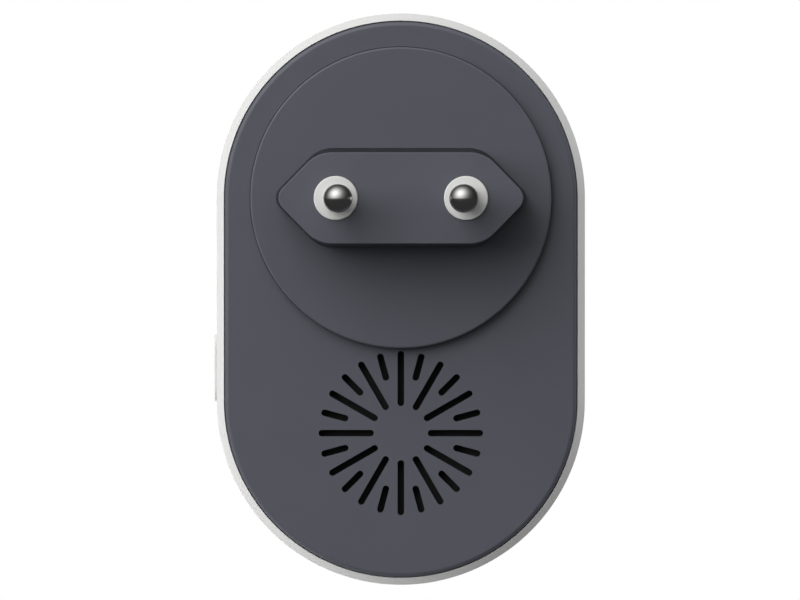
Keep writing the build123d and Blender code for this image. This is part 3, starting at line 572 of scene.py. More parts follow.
def sunburst_recipe() -> Recipe:
    """Slots with round ends that stand round a centre, long and short in turn.

    Returns:
        The recipe; its solids run forward from the start depth.
    """
    recipe = Recipe("sunburst_slots")
    pairs = recipe.size("Pairs of slots", "Int")
    outer = recipe.size("Outer radius")
    width = recipe.size("Slot width")
    start = recipe.size("Start depth")
    thick = recipe.size("Thickness")
    height = recipe.size("Centre height")
    inners = (recipe.size("Long inner radius"), recipe.size("Short inner radius"))
    step = recipe.maths("DIVIDE", math.tau, pairs)
    rows = []
    for row, inner in enumerate(inners):
        length = recipe.maths("SUBTRACT", outer, inner)
        blank = recipe.node("CurvePrimitiveQuadrilateral", {"Width": length, "Height": width})
        radius = recipe.maths("MULTIPLY", width, END_SHARE)
        ends = {"Curve": blank.outputs[0], "Radius": radius, "Count": 8}
        rounded = recipe.node("FilletCurve", ends, mode="POLY")
        fill = recipe.node("FillCurve", {"Curve": rounded.outputs[0]}, mode="NGONS").outputs[0]
        run = {"Mesh": fill, "Offset Scale": thick, "Individual": False}
        walls = recipe.node("ExtrudeMesh", run)
        base = recipe.node("FlipFaces", {"Mesh": fill})
        both = recipe.joined(walls.outputs[0], base.outputs[0])
        solid = recipe.node("MergeByDistance", {"Geometry": both, "Distance": WELD})
        middle = recipe.maths("ADD", inner, recipe.maths("MULTIPLY", length, 0.5))
        shift = recipe.node("ShaderNodeCombineXYZ", {"X": middle}).outputs[0]
        moved = recipe.node("Transform", {"Geometry": solid.outputs[0], "Translation": shift})
        points = recipe.node("Points", {"Count": pairs}).outputs[0]
        number = recipe.node("InputIndex").outputs[0]
        turn = recipe.maths("MULTIPLY", recipe.maths("ADD", number, row / 2), step)
        spin = recipe.node("ShaderNodeCombineXYZ", {"Z": turn}).outputs[0]
        copies = {"Points": points, "Instance": moved.outputs[0], "Rotation": spin}
        rows.append(recipe.node("InstanceOnPoints", copies).outputs[0])
    back = recipe.maths("MULTIPLY", start, -1.0)
    centre = recipe.node("ShaderNodeCombineXYZ", {"Y": back, "Z": height}).outputs[0]
    upright = (math.pi / 2, 0, 0)
    stand = {"Geometry": recipe.joined(*rows), "Translation": centre, "Rotation": upright}
    recipe.close(recipe.node("Transform", stand).outputs[0])
    return recipe


def repeat_recipe() -> Recipe:
    """The same solid at every point.

    Returns:
        The recipe, which starts from the points.
    """
    recipe = Recipe("repeated_solid")
    solid = recipe.size("Solid", "Object")
    scale = recipe.size("Scale")
    source = recipe.node("ObjectInfo", {"Object": solid}).outputs["Geometry"]
    points = recipe.node("MeshToPoints", {"Mesh": recipe.inputs.outputs[0]}).outputs[0]
    copies = {"Points": points, "Instance": source, "Scale": scale}
    recipe.close(recipe.node("InstanceOnPoints", copies).outputs[0])
    return recipe


def repeated(name: str, solid: Piece, places: Iterable[Vector]) -> Piece:
    """Copies one solid to every place with Geometry Nodes, and discards the original.

    Args:
        name: The new object's name.
        solid: The solid, modelled about the origin.
        places: Where it goes.

    Returns:
        One object with every copy.
    """
    made = repeat_recipe().make(name, {"Solid": solid, "Scale": 1.0}, places)
    bpy.data.objects.remove(solid)
    return made


# ---- Finishes -------------------------------------------------------------------------------


class Paint(Tree):
    """A material with one principled shader, on object coordinates."""

    def __init__(self, name: str) -> None:
        """Starts the material.

        Args:
            name: The material's name.
        """
        self.material = bpy.data.materials.new(name)
        self.material.use_nodes = True
        super().__init__(self.material.node_tree)
        self.shader = self.node("BsdfPrincipled")
        self.output = self.node("OutputMaterial", {"Surface": self.shader.outputs[0]})
        self.place = self.node("TexCoord").outputs["Object"]

    def set(self, **values: object) -> None:
        """Sets or feeds the shader's own sockets, each named with _ for a space."""
        self.feed(self.shader, {key.replace("_", " "): value for key, value in values.items()})

    def noise(self, grain: float, detail: float = 2.0, stretch: Colour = (1, 1, 1)) -> Socket:
        """A noise pattern.

        Args:
            grain: Its grain size in metres.
            detail: How many finer octaves it has.
            stretch: Scale along each axis.

        Returns:
            The pattern's value.
        """
        mapping = self.node("Mapping", {"Vector": self.place, "Scale": stretch})
        pattern = {"Vector": mapping.outputs[0], "Scale": 1 / grain, "Detail": detail}
        return self.node("TexNoise", pattern).outputs[0]

    def spread(self, value: Socket, low: float, high: float) -> Socket:
        """Maps a pattern to the range from a low to a high value."""
        limits = {0: value, 1: NOISE_RANGE[0], 2: NOISE_RANGE[1], 3: low, 4: high}
        return self.node("MapRange", limits).outputs[0]

    def about(self, value: Socket, middle: float, reach: float) -> Socket:
        """Maps a pattern to the range that lies evenly about a middle."""
        return self.spread(value, middle - reach, middle + reach)

    def blend(self, value: Socket, low: Colour, high: Colour) -> Socket:
        """Mixes the colour of a pattern's low places with that of its high places."""
        ends = {"Factor": value, "A": (*low, 1), "B": (*high, 1)}
        return self.node("Mix", ends, data_type="RGBA").outputs["Result"]

    def relief(self, height: Socket, depth: float, under: Socket | None = None) -> Socket:
        """Adds relief to the surface.

        Args:
            height: The relief's pattern.
            depth: Its depth in metres.
            under: Coarser relief that this one lies on.

        Returns:
            The surface's new normal.
        """
        coarse = {} if under is None else {"Normal": under}
        bump = self.node("Bump", {"Height": height, "Distance": depth, **coarse}).outputs[0]
        self.set(Normal=bump)
        return bump


def shade(colour: Colour, factor: float) -> Colour:
    """A colour with each channel multiplied by a factor, up to 1."""
    return tuple(min(1.0, channel * factor) for channel in colour)


@dataclass(frozen=True)
class Plastic:
    """Moulded plastic: slight flow mottling, spark-eroded grain and handling marks."""

    name: str
    colour: Colour
    roughness: float = 0.42
    spread: float = 0.06
    mottle: float = 0.03
    grain: float = 0.16 * MM
    relief: float = 1.2e-6
    specular: float = 0.5
    coat: float = 0.0
    coat_roughness: float = 0.15
    flow: float = 9 * MM
    wear: float = 2.5 * MM
    wave: float = 6 * MM

    def material(self) -> bpy.types.Material:
        """Builds the material.

        Returns:
            The material.
        """
        paint = Paint(self.name)
        dim, bright = shade(self.colour, 1 - self.mottle), shade(self.colour, 1 + self.mottle)
        flow, wear = paint.noise(self.flow, 3.0), paint.noise(self.wear, 4.0)
        paint.set(
            Base_Color=paint.blend(flow, dim, bright),
            Roughness=paint.about(wear, self.roughness, self.spread),
            Specular_IOR_Level=self.specular,
            Coat_Weight=self.coat,
            Coat_Roughness=self.coat_roughness,
        )
        wave = paint.relief(paint.noise(self.wave, 1.0), 4 * self.relief)
        paint.relief(paint.noise(self.grain, 2.0), self.relief, wave)
        return paint.material


@dataclass(frozen=True)
class Metal:
    """Bare or plated metal with fine marks along one direction."""

    name: str
    colour: Colour
    roughness: float = 0.14
    spread: float = 0.04
    grain: float = 0.25 * MM
    stretch: Colour = (1.0, 1.0, 1.0)
    relief: float = 4e-7
    tarnish: float = 1.5 * MM

    def material(self) -> bpy.types.Material:
        """Builds the material.

        Returns:
            The material.
        """
        paint = Paint(self.name)
        tone = paint.noise(self.tarnish, 3.0)
        paint.set(
            Metallic=1.0,
            Base_Color=paint.blend(tone, shade(self.colour, 0.95), shade(self.colour, 1.05)),
            Roughness=paint.about(tone, self.roughness, self.spread),
        )
        paint.relief(paint.noise(self.grain, 2.0, self.stretch), self.relief)
        return paint.material


@dataclass(frozen=True)
class Cloth:
    """Thin woven acoustic cloth."""

    name: str
    colour: Colour
    pitch: float = 0.22 * MM
    relief: float = 4e-5
    roughness: float = 0.9
    specular: float = 0.15
    sheen: float = 0.1

    def material(self) -> bpy.types.Material:
        """Builds the material.

        Returns:
            The material.
        """
        paint = Paint(self.name)
        bands = {"Vector": paint.place, "Scale": 1 / self.pitch / math.tau * 2}
        threads = [paint.node("TexWave", bands, bands_direction=axis) for axis in ("X", "Z")]
        weave = paint.maths("MULTIPLY", *(thread.outputs[1] for thread in threads))
        paint.set(
            Base_Color=paint.blend(weave, shade(self.colour, 0.5), self.colour),
            Roughness=self.roughness,
            Specular_IOR_Level=self.specular,
            Sheen_Weight=self.sheen,
        )
        paint.relief(weave, self.relief)
        return paint.material


@dataclass(frozen=True)
class Clear:
    """Clear moulded acrylic."""

    name: str
    colour: Colour
    roughness: float = 0.06
    clearness: float = 0.9
    bending: float = 1.49
    haze: float = 1.0 * MM

    def material(self) -> bpy.types.Material:
        """Builds the material.

        Returns:
            The material.
        """
        paint = Paint(self.name)
        haze = paint.noise(self.haze, 2.0)
        paint.set(
            Transmission_Weight=self.clearness,
            IOR=self.bending,
            Base_Color=paint.blend(haze, shade(self.colour, 0.97), self.colour),
            Roughness=paint.about(haze, self.roughness, self.roughness * 0.4),
        )
        return paint.material


@dataclass(frozen=True)
class Board:
    """Circuit board: solder mask over copper tracks on a grid."""

    name: str
    mask: Colour
    copper: Colour
    pitch: float = 2.54 * MM
    track: float = 0.2 * MM
    wear: float = 0.8 * MM
    roughness: tuple[float, float] = (0.3, 0.42)
    coat: tuple[float, float] = (0.4, 0.12)
    relief: float = 1.5e-5

    def material(self) -> bpy.types.Material:
        """Builds the material.

        Returns:
            The material.
        """
        paint = Paint(self.name)
        mapping = paint.node("Mapping", {"Vector": paint.place, "Rotation": (math.pi / 2, 0, 0)})
        grid = {
            "Vector": mapping.outputs[0],
            "Color1": (*self.mask, 1),
            "Color2": (*self.mask, 1),
            "Mortar": (*self.copper, 1),
            "Scale": 1.0,
            "Mortar Size": self.track,
            "Brick Width": 3 * self.pitch,
            "Row Height": self.pitch,
        }
        cells = paint.node("TexBrick", grid, offset=0.5)
        paint.set(
            Base_Color=cells.outputs["Color"],
            Roughness=paint.spread(paint.noise(self.wear, 3.0), *self.roughness),
            Coat_Weight=self.coat[0],
            Coat_Roughness=self.coat[1],
        )
        paint.relief(cells.outputs["Fac"], self.relief)
        return paint.material


Finish = Plastic | Metal | Cloth | Clear | Board

DARK = Plastic("dark_cover_plastic", (0.080, 0.0825, 0.101), roughness=0.4, specular=0.5)
# Painted shade: a much darker copy of the dark cover plastic for the plug body's side walls, which
# paints them as a dark band of shade round the plug face.
PAINTED_SHADE_WALL = Plastic("painted_shade_wall_plastic", (0.017, 0.018, 0.022), roughness=0.6, specular=0.2)
WHITE = Plastic(
    "white_housing_plastic", (0.55, 0.55, 0.545), roughness=0.42, mottle=0.012, specular=0.35
)
SLEEVE = Plastic(
    "white_sleeve_plastic", (0.58, 0.58, 0.57), roughness=0.45, specular=0.35, grain=0.3 * MM
)
PLATED = Metal("plated_pin_metal", (0.70, 0.69, 0.68), roughness=0.19, spread=0.03)
BLACK = Plastic("black_nylon", (0.02, 0.02, 0.022), roughness=0.5)
EPOXY = Plastic("moulded_epoxy", (0.018, 0.018, 0.02), roughness=0.55, grain=0.08 * MM)
STEEL = Metal("zinc_plated_steel", (0.56, 0.56, 0.55), roughness=0.3, stretch=(1, 0.1, 1))
BRASS = Metal("rolled_brass", (0.75, 0.55, 0.24), roughness=0.28, stretch=(0.1, 1, 1))
ALUMINIUM = Metal("spun_aluminium", (0.76, 0.76, 0.77), roughness=0.25)
CLEAR = Clear("clear_acrylic", (0.92, 0.94, 0.95))
COPPER = Metal("enamelled_copper", (0.62, 0.26, 0.11), roughness=0.22)

FOAM = Plastic("foam_gasket", (0.03, 0.03, 0.03), roughness=0.8, grain=0.5 * MM, relief=2e-5)
FERRITE = Plastic("sintered_ferrite", (0.035, 0.035, 0.037), roughness=0.6, grain=0.1 * MM)
CAN_BLUE = (0.02, 0.025, 0.05)

CAD_FINISHES: dict[str, Finish] = {
    "pin_retainer": BLACK,
    "grille_cloth": Cloth("acoustic_cloth", (0.012, 0.012, 0.013)),
    "transducer_gasket": FOAM,
    "transducer_can": BLACK,
    "transducer_plate": BRASS,
    "transducer_ceramic": Plastic("silvered_ceramic", (0.72, 0.70, 0.64), roughness=0.35),
    "transducer_cone": ALUMINIUM,
    "transducer_clamp": BLACK,
    "transducer_leads": Plastic("red_lead_sleeve", (0.45, 0.03, 0.03), roughness=0.4),
    "main_board": Board("circuit_board", (0.02, 0.16, 0.06), (0.07, 0.30, 0.12)),
    "film_capacitor": Plastic("yellow_capacitor_box", (0.72, 0.50, 0.05), roughness=0.3),
    "bulk_capacitor": Plastic("capacitor_sleeve", CAN_BLUE, roughness=0.25, coat=0.4),
    "output_capacitor": Plastic("capacitor_sleeve_small", CAN_BLUE, roughness=0.25, coat=0.4),
    "varistor": Plastic("dipped_blue_epoxy", (0.03, 0.10, 0.35), roughness=0.25, coat=0.5),
    "fuse_resistor": Plastic("lacquered_ceramic", (0.55, 0.43, 0.28), roughness=0.4),
    "rectifier_bridge": EPOXY,
    "driver_transistors": EPOXY,
    "controller_chip": EPOXY,
    "chip_resistors": EPOXY,
    "transformer_core": FERRITE,
    "transformer_bobbin": BLACK,
    "transformer_winding": COPPER,
    "indicator_led": Plastic("diffused_led_epoxy", (0.60, 0.72, 0.62), roughness=0.2, coat=0.3),
    "mains_lead_left": Plastic("brown_lead_sleeve", (0.12, 0.045, 0.02), roughness=0.4),
    "mains_lead_right": Plastic("blue_lead_sleeve", (0.03, 0.10, 0.40), roughness=0.4),
    "switch_body": EPOXY,
    "switch_plunger": BLACK,
    "switch_dome": STEEL,
    "switch_terminals": STEEL,
    "carrier_screws": STEEL,
    "clamp_screws": STEEL,
    "board_screws": STEEL,
}


def finished(piece: Piece, finish: Finish, node: str, body: str) -> Piece:
    """Smooths a rebuilt piece, dresses it and puts it on its body.

    Args:
        piece: The piece.
        finish: Its finish.
        node: The CAD node that it stands for.
        body: The body that it rides on.

    Returns:
        The piece.
    """
    mesh = piece.data
    mesh.polygons.foreach_set("use_smooth", [True] * len(mesh.polygons))
    mesh.set_sharp_from_angle(angle=math.radians(SHARP_ANGLE))
    step = piece.modifiers.new("even", "WEIGHTED_NORMAL")
    step.keep_sharp = True
    step.weight = 100
    flattened(piece)
    piece.data.materials.clear()
    piece.data.materials.append(known_material(finish))
    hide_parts(node)
    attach(piece, body)
    log.info("%s: %d faces, for %s on %s", piece.name, len(piece.data.polygons), node, body)
    return piece


def known_material(finish: Finish) -> bpy.types.Material:
    """A finish's material, made once."""
    return bpy.data.materials.get(finish.name) or finish.material()


# ---- The object -----------------------------------------------------------------------------


@dataclass
class Housing:
    """White tub: sides, front, chamfered rim, button slot and window hole."""

    wall: float = 2.0 * MM
    rim_width: float = 1.08 * MM
    rim_chamfer: float = 1.0 * MM
    ledge: float = 1.4 * MM
    front_round: float = 9.0 * MM
    edge: float = 0.12 * MM
    chamfer_round: float = 0.25 * MM
    flat_margin: float = 0.3 * MM
    button_gap: float = 0.15 * MM
    window_radius: float = 1.65 * MM
    boss_radius: float = 2.5 * MM
    pilot_radius: float = 1.02 * MM
    boss_x: float = 14.5 * MM
    boss_heights: tuple[float, float] = (13.5 * MM, -43.0 * MM)
    boss_start: float = 31.0 * MM
    boss_root: float = 1.6 * MM
    pilot_end: float = 36.2 * MM
    low: Vector = field(default_factory=lambda: Vector(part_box("front_shell")[0]))
    high: Vector = field(default_factory=lambda: Vector(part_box("front_shell")[1]))

    def __post_init__(self) -> None:
        """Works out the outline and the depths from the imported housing."""
        self.radius = (self.high.x - self.low.x) / 2
        self.top_z = self.high.z - self.radius
        self.bottom_z = self.low.z + self.radius
        self.rim_depth = -self.high.y
        self.front_depth = -self.low.y

    def outline(self, arc_steps: int = 96) -> Outline:
        """The housing's pill outline.

        Args:
            arc_steps: Segments in each half circle.

        Returns:
            The outline.
        """
        top = Arc(0, self.top_z, self.radius, 0, 180)
        bottom = Arc(0, self.bottom_z, self.radius, 180, 360)
        return Outline((top, bottom), arc_steps=arc_steps, run_steps=12)

    def shell(self) -> Piece:
        """Builds the tub.

        Returns:
            The tub.
        """
        flat = self.front_round + self.flat_margin
        inner_front = self.front_depth - self.wall
        ledge_depth = self.rim_depth + self.ledge
        middle = (self.front_depth + self.rim_depth) / 2
        outer = soft_path(
            (-flat, self.front_depth, 0),
            (0, self.front_depth, self.front_round),
            (0, middle, 0),
            (0, self.rim_depth + self.rim_chamfer, self.chamfer_round),
            (-self.rim_chamfer, self.rim_depth, self.edge / 4),
            (-self.rim_width, self.rim_depth, self.edge / 4),
            (-self.rim_width, ledge_depth, 0),
            steps=12,
        )
        inner = soft_path(
            (-self.wall, ledge_depth, 0),
            (-self.wall, inner_front, self.front_round - self.wall),
            (-flat, inner_front, 0),
            steps=12,
        )
        return lofted("housing_shell", self.outline(), outer + inner)

    def bosses(self) -> tuple[Piece, Piece]:
        """The four board bosses and the holes in them.

        Returns:
            The solids to add and the solids to remove.
        """
        places = [Vector((side * self.boss_x, 0, z)) for side in SIDES for z in self.boss_heights]
        root = self.front_depth - self.boss_root
        made = []
        bars = (
            ("boss", self.boss_radius, self.boss_start, root),
            ("pilot", self.pilot_radius, self.boss_start - OVERLAP, self.pilot_end),
        )
        for name, radius, start, end in bars:
            solid = prism(name, circle(radius, steps=32), start, end)
            made.append(repeated(f"{name}_set", solid, places))
        return made[0], made[1]

    def build(self) -> None:
        """Builds and dresses the housing."""
        shell = self.shell()
        bosses, pilots = self.bosses()
        worked(shell, bosses, Cut.ADD)
        worked(shell, pilots, Cut.REMOVE)
        low, high = (Vector(corner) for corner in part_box("side_button"))
        gap = 2 * self.button_gap
        wall_x = self.radius - self.wall
        depth = (low.y + high.y) / 2
        slot_length = high.z - low.z - Button.flange_grow * 2 + gap
        slot_width = high.y - low.y - Button.flange_grow * 2 + gap
        slot = upright_obround(slot_length, slot_width, depth, (low.z + high.z) / 2, Facing.SIDE)
        worked(shell, prism("slot", slot, wall_x - PAST, self.radius + PAST), Cut.REMOVE)
        hole = circle(self.window_radius, steps=48)
        inner = self.front_depth - self.wall - PAST
        worked(shell, prism("hole", hole, inner, self.front_depth + PAST), Cut.REMOVE)
        finished(shell, WHITE, "front_shell", "housing")


@dataclass
class Cover:
    """Dark back plate: sunburst grille, disc seat, skirt, hooks and the transducer's ring."""

    gap: float = 0.14 * MM
    plate: float = 2.0 * MM
    edge_round: float = 0.62 * MM
    edge_inset: float = 1.2 * MM
    back_round: float = 0.1 * MM
    skirt_inset: float = 2.1 * MM
    skirt_wall: float = 1.2 * MM
    skirt_height: float = 3.0 * MM
    seat_radius: float = 21.8 * MM
    seat: float = 0.5 * MM
    seat_ease: float = 0.1 * MM
    opening: tuple[float, float] = (29.0 * MM, 9.4 * MM)
    opening_round: float = 2.0 * MM
    peg_offset: float = 12.4 * MM
    peg_hole: float = 1.55 * MM
    grille_z: float = -34.0 * MM
    pairs: int = 12
    slot_outer: float = 11.87 * MM
    slot_long: float = 3.9 * MM
    slot_short: float = 7.85 * MM
    slot_width: float = 0.95 * MM
    slot_ease: float = 0.1 * MM
    grille_margin: float = 0.2 * MM
    ring: tuple[float, float] = (13.7 * MM, 15.0 * MM)
    ring_height: float = 6.0 * MM
    boss_x: float = 17.2 * MM
    boss_radius: float = 2.5 * MM
    pilot_radius: float = 1.02 * MM
    pilot_depth: float = 5.5 * MM
    hook_heights: tuple[float, float] = (-6.0 * MM, -21.0 * MM)
    hook_size: tuple[float, float] = (6.0 * MM, 6.0 * MM)
    barb: tuple[float, float, float] = (0.5 * MM, 1.4 * MM, 0.4 * MM)

    def __post_init__(self) -> None:
        """Takes the plate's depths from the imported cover."""
        low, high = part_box("rear_cover")
        self.face = -high[1]
        self.back = self.face + self.plate
        self.boss_end = -low[1]

    def slots(self) -> Piece:
        """The solids that the grille's slots are cut with.

        Returns:
            One object with every slot.
        """
        values = {
            "Pairs of slots": self.pairs,
            "Outer radius": self.slot_outer,
            "Slot width": self.slot_width,
            "Start depth": self.face - PAST,
            "Thickness": self.plate + 2 * PAST,
            "Centre height": self.grille_z,
            "Long inner radius": self.slot_long,
            "Short inner radius": self.slot_short,
            "Finish": known_material(DARK),
        }
        return sunburst_recipe().make("slot_set", values)

    def hooks(self) -> Piece:
        """The four snap hooks of the skirt.

        Returns:
            One object with all four.
        """
        outer = Housing().radius - self.skirt_inset
        width, height = self.hook_size
        reach, barb_height, barb_flat = self.barb
        end = self.back + height
        profile = (
            (outer - self.skirt_wall, self.back - OVERLAP),
            (outer, self.back - OVERLAP),
            (outer, end - barb_height),
            (outer + reach, end - barb_height),
            (outer + reach, end - barb_height + barb_flat),
            (outer, end),
            (outer - self.skirt_wall, end),
        )
        points, faces = [], []
        for side in SIDES:
            for z in self.hook_heights:
                first = len(points)
                for level in (z - width / 2, z + width / 2):
                    points += [Vector((side * x, -depth, level)) for x, depth in profile]
                count = len(profile)
                faces.append([first + step for step in range(count)])
                faces.append([first + count + step for step in range(count)])
                for step in range(count):
                    after = (step + 1) % count
                    corner = [step, after, count + after, count + step]
                    faces.append([first + number for number in corner])
        return mesh_object("hook_set", points, faces)

    def build(self, housing: Housing) -> None:
        """Builds and dresses the cover.

        Args:
            housing: The housing that it drops into.
        """
        inset = housing.rim_width + self.gap
        outline = housing.outline()
        path = soft_path(
            (-inset - self.edge_inset, self.face, 0),
            (-inset, self.face, self.edge_round),
            (-inset, self.back, self.back_round),
            (-inset - self.edge_inset, self.back, 0),
            steps=8,
        )
        cover = lofted("cover_plate", outline, path)
        skirt = (
            (-self.skirt_inset, self.back - OVERLAP),
            (-self.skirt_inset, self.back + self.skirt_height),
            (-self.skirt_inset - self.skirt_wall, self.back + self.skirt_height),
            (-self.skirt_inset - self.skirt_wall, self.back - OVERLAP),
        )
        worked(cover, lofted("skirt", outline, skirt, tube=True), Cut.ADD)
        worked(cover, self.hooks(), Cut.ADD)
        centre = circle(self.ring[1], z=self.grille_z)
        root = self.back - OVERLAP
        worked(cover, prism("ring", centre, root, self.back + self.ring_height), Cut.ADD)
        sides = [Vector((side * self.boss_x, 0, self.grille_z)) for side in SIDES]
        boss = prism("boss", circle(self.boss_radius, steps=32), root, self.boss_end)
        worked(cover, repeated("clamp_bosses", boss, sides), Cut.ADD)
        bore = circle(self.ring[0], z=self.grille_z)
        worked(cover, prism("bore", bore, self.back, self.boss_end + PAST), Cut.REMOVE)
        hole, end = circle(self.pilot_radius, steps=24), self.boss_end
        pilot = prism("pilot", hole, end - self.pilot_depth, end + PAST)
        worked(cover, repeated("clamp_pilots", pilot, sides), Cut.REMOVE)
        seat = circle(self.seat_radius, steps=160)
        worked(cover, prism("seat", seat, self.face - PAST, self.face + self.seat), Cut.REMOVE)
        opening = box_outline(*self.opening, 0.0, 0.0, self.opening_round)
        worked(cover, prism("opening", opening, self.face - PAST, self.back + PAST), Cut.REMOVE)
        peg = prism("peg_hole", circle(self.peg_hole, steps=32), self.face - PAST, self.back + PAST)
        worked(cover, repeated("peg_holes", peg, four_places(self.peg_offset)), Cut.REMOVE)
        worked(cover, self.slots(), Cut.REMOVE)
        reach = self.slot_outer + self.grille_margin
        eased(cover, self.slot_ease, EdgeTest(self.face, 0.0, self.grille_z, 0.0, reach))
        slack = 0.02 * MM
        rim = EdgeTest(self.face, 0.0, 0.0, self.seat_radius - slack, self.seat_radius + slack)
        eased(cover, self.seat_ease, rim, 2)
        finished(cover, DARK, "rear_cover", "housing")


@dataclass
class Plug:
    """Plug body on its disc, two pins and two sleeves with collars."""

    spacing_face: float = 18.6 * MM
    spacing_tip: float = 17.5 * MM
    pin_length: float = 19.0 * MM
    pin_radius: float = 2.0 * MM
    core_radius: float = 1.45 * MM
    head_radius: float = 2.6 * MM
    tail_radius: float = 1.1 * MM
    tail_depth: float = 19.0 * MM
    tail_round: float = 0.2 * MM
    sleeve_length: float = 10.0 * MM
    sleeve_radius: float = 1.8 * MM
    collar_radius: float = 3.15 * MM
    collar_proud: float = 0.4 * MM
    collar_end: float = 7.0 * MM
    flange_radius: float = 3.7 * MM
    flange_end: float = 8.5 * MM
    head_end: float = 9.7 * MM
    half_width: float = 18.25 * MM
    shoulder_x: float = 11.9 * MM
    half_height: float = 6.5 * MM
    shoulder_round: float = 5.0 * MM
    nose_round: float = 2.0 * MM
    top_draft: float = 3.8
    flank_draft: float = 2.2
    edge_round: float = 0.12 * MM
    face_inset: float = 1.6 * MM
    disc_face: float = 10.0 * MM
    disc_radius: float = 21.7 * MM
    disc_round: float = 0.3 * MM
    disc_back_round: float = 0.05 * MM
    root: float = 1.2 * MM
    seat_depth: float = 12.3 * MM
    wall: float = 2.0 * MM
    tube_radius: float = 4.8 * MM
    rib_width: float = 5.0 * MM
    rib_end: float = 13.7 * MM
    rib_round: float = 0.2 * MM
    screw_height: float = 2.3 * MM
    pilot_radius: float = 1.02 * MM
    pilot_start: float = 4.5 * MM
    seat_gap: float = 0.03 * MM
    core_gap: float = 0.02 * MM
    hole_round: float = 0.08 * MM
    soft: float = 0.1 * MM
    sleeve_tip_round: float = 0.08 * MM
    collar_root_round: float = 0.15 * MM
    collar_round: float = 0.22 * MM
    # Painted shade goes only on wall faces beyond this half-width or this half-height.
    painted_shade_from: tuple[float, float] = (12.6 * MM, 5.0 * MM)
    peg_offset: float = 12.4 * MM
    peg_radius: float = 1.5 * MM
    peg_head: tuple[float, float] = (2.3 * MM, 0.9 * MM)
    peg_end: float = 13.8 * MM

    def outline(self, depth: float = 0.0) -> Outline:
        """Six-sided outline of the plug body.

        Args:
            depth: Depth below the plug face, which the drafted walls spread with.

        Returns:
            The outline.
        """
        flank = math.atan2(self.half_height, self.half_width - self.shoulder_x)
        lean = math.degrees(flank)
        spread = depth * math.tan(math.radians(self.flank_draft)) / math.sin(flank)
        half_height = self.half_height + depth * math.tan(math.radians(self.top_draft))
        half_width = self.half_width + spread
        nose_x = half_width - self.nose_round / math.sin(flank)
        shoulder_z = half_height - self.shoulder_round
        shoulder_x = half_width - half_height / math.tan(flank)
        shoulder_x -= self.shoulder_round * math.tan(flank / 2)
        right = 90 - lean
        arcs = (
            Arc(nose_x, 0, self.nose_round, -right, right),
            Arc(shoulder_x, shoulder_z, self.shoulder_round, right, 90),
            Arc(-shoulder_x, shoulder_z, self.shoulder_round, 90, 180 - right),
            Arc(-nose_x, 0, self.nose_round, 180 - right, 180 + right),
            Arc(-shoulder_x, -shoulder_z, self.shoulder_round, 180 + right, 270),
            Arc(shoulder_x, -shoulder_z, self.shoulder_round, 270, 360 - right),
        )
        return Outline(arcs, arc_steps=14)

    def pin_place(self, side: int) -> Matrix:
        """Where a pin stands and how it leans.

        Args:
            side: 1 for the pin on +X, -1 for the other.

        Returns:
            The transform from the pin's own frame.
        """
        lean = math.atan((self.spacing_face - self.spacing_tip) / 2 / self.pin_length)
        shift = Matrix.Translation((side * self.spacing_face / 2, 0, 0))
        return shift @ Matrix.Rotation(side * lean, 4, "Z")

    def bar(self, name: str, radius: float, start: float, end: float, side: int) -> Piece:
        """A round solid along one pin's axis.

        Args:
            name: The object's name.
            radius: Its radius.
            start: Depth where it begins.
            end: Depth where it ends.
            side: Which pin.

        Returns:
            The solid.
        """
        solid = prism(name, circle(radius, steps=96), start, end)
        solid.data.transform(self.pin_place(side))
        return solid

    def carrier(self) -> None:
        """Builds and dresses the plug body with its disc."""
        nose = soft_path((0.0, PAST, 0), (0.0, 0.0, self.edge_round), (-self.face_inset, 0.0, 0))
        levels = [(0.0, self.disc_face * (1 - step / 16)) for step in range(15)]
        rings = [self.outline(self.disc_face).ring(0.0, self.disc_face + self.root)]
        rings += [self.outline(level).ring(grow, level) for grow, level in levels + nose[1:]]
        body = skinned("plug_body", rings)
        disc_path = soft_path(
            (0.0, self.seat_depth, 0),
            (self.disc_radius, self.seat_depth, self.disc_back_round),
            (self.disc_radius, self.disc_face, self.disc_round),
            (0.0, self.disc_face, 0),
            steps=8,
        )
        worked(body, turned("disc", disc_path, steps=192), Cut.ADD)
        inside = ((-self.wall, self.wall), (-self.wall, self.seat_depth + PAST))
        worked(body, lofted("cavity", self.outline(), inside), Cut.REMOVE)
        collar, flange = self.collar_radius + self.seat_gap, self.flange_radius + self.seat_gap
        bars = (
            ("tube", self.tube_radius, self.wall / 2, self.flange_end, Cut.ADD),
            ("bore", collar, -PAST, self.collar_end, Cut.REMOVE),
            ("seat", flange, self.collar_end, self.seat_depth + PAST, Cut.REMOVE),
        )
        for side in SIDES:
            for name, radius, start, end, cut in bars:
                worked(body, self.bar(name, radius, start, end, side), cut)
        height = 2 * (self.half_height - self.wall)
        rib = box_outline(self.rib_width, height, 0.0, 0.0, self.rib_round)
        worked(body, prism("rib", rib, self.wall / 2, self.rib_end), Cut.ADD)
        heights = [Vector((0, 0, side * self.screw_height)) for side in SIDES]
        hole = circle(self.pilot_radius, steps=24)
        pilot = prism("pilot", hole, self.pilot_start, self.rib_end + PAST)
        worked(body, repeated("pilots", pilot, heights), Cut.REMOVE)
        head_radius, head_height = self.peg_head
        head_end = self.peg_end + head_height
        peg_path = soft_path(
            (0.0, self.seat_depth - OVERLAP, 0),
            (self.peg_radius, self.seat_depth - OVERLAP, 0),
            (self.peg_radius, self.peg_end, 0),
            (head_radius, self.peg_end, 0),
            (head_radius, head_end, head_height / 2),
            (0.0, head_end, 0),
        )
        peg = turned("peg", peg_path, steps=32)
        worked(body, repeated("pegs", peg, four_places(self.peg_offset)), Cut.ADD)
        slack = 0.05 * MM
        for side in SIDES:
            place = self.pin_place(side).translation
            test = EdgeTest(0.0, place.x, 0.0, collar - slack, collar + slack, slack)
            eased(body, self.hole_round, test, 2)
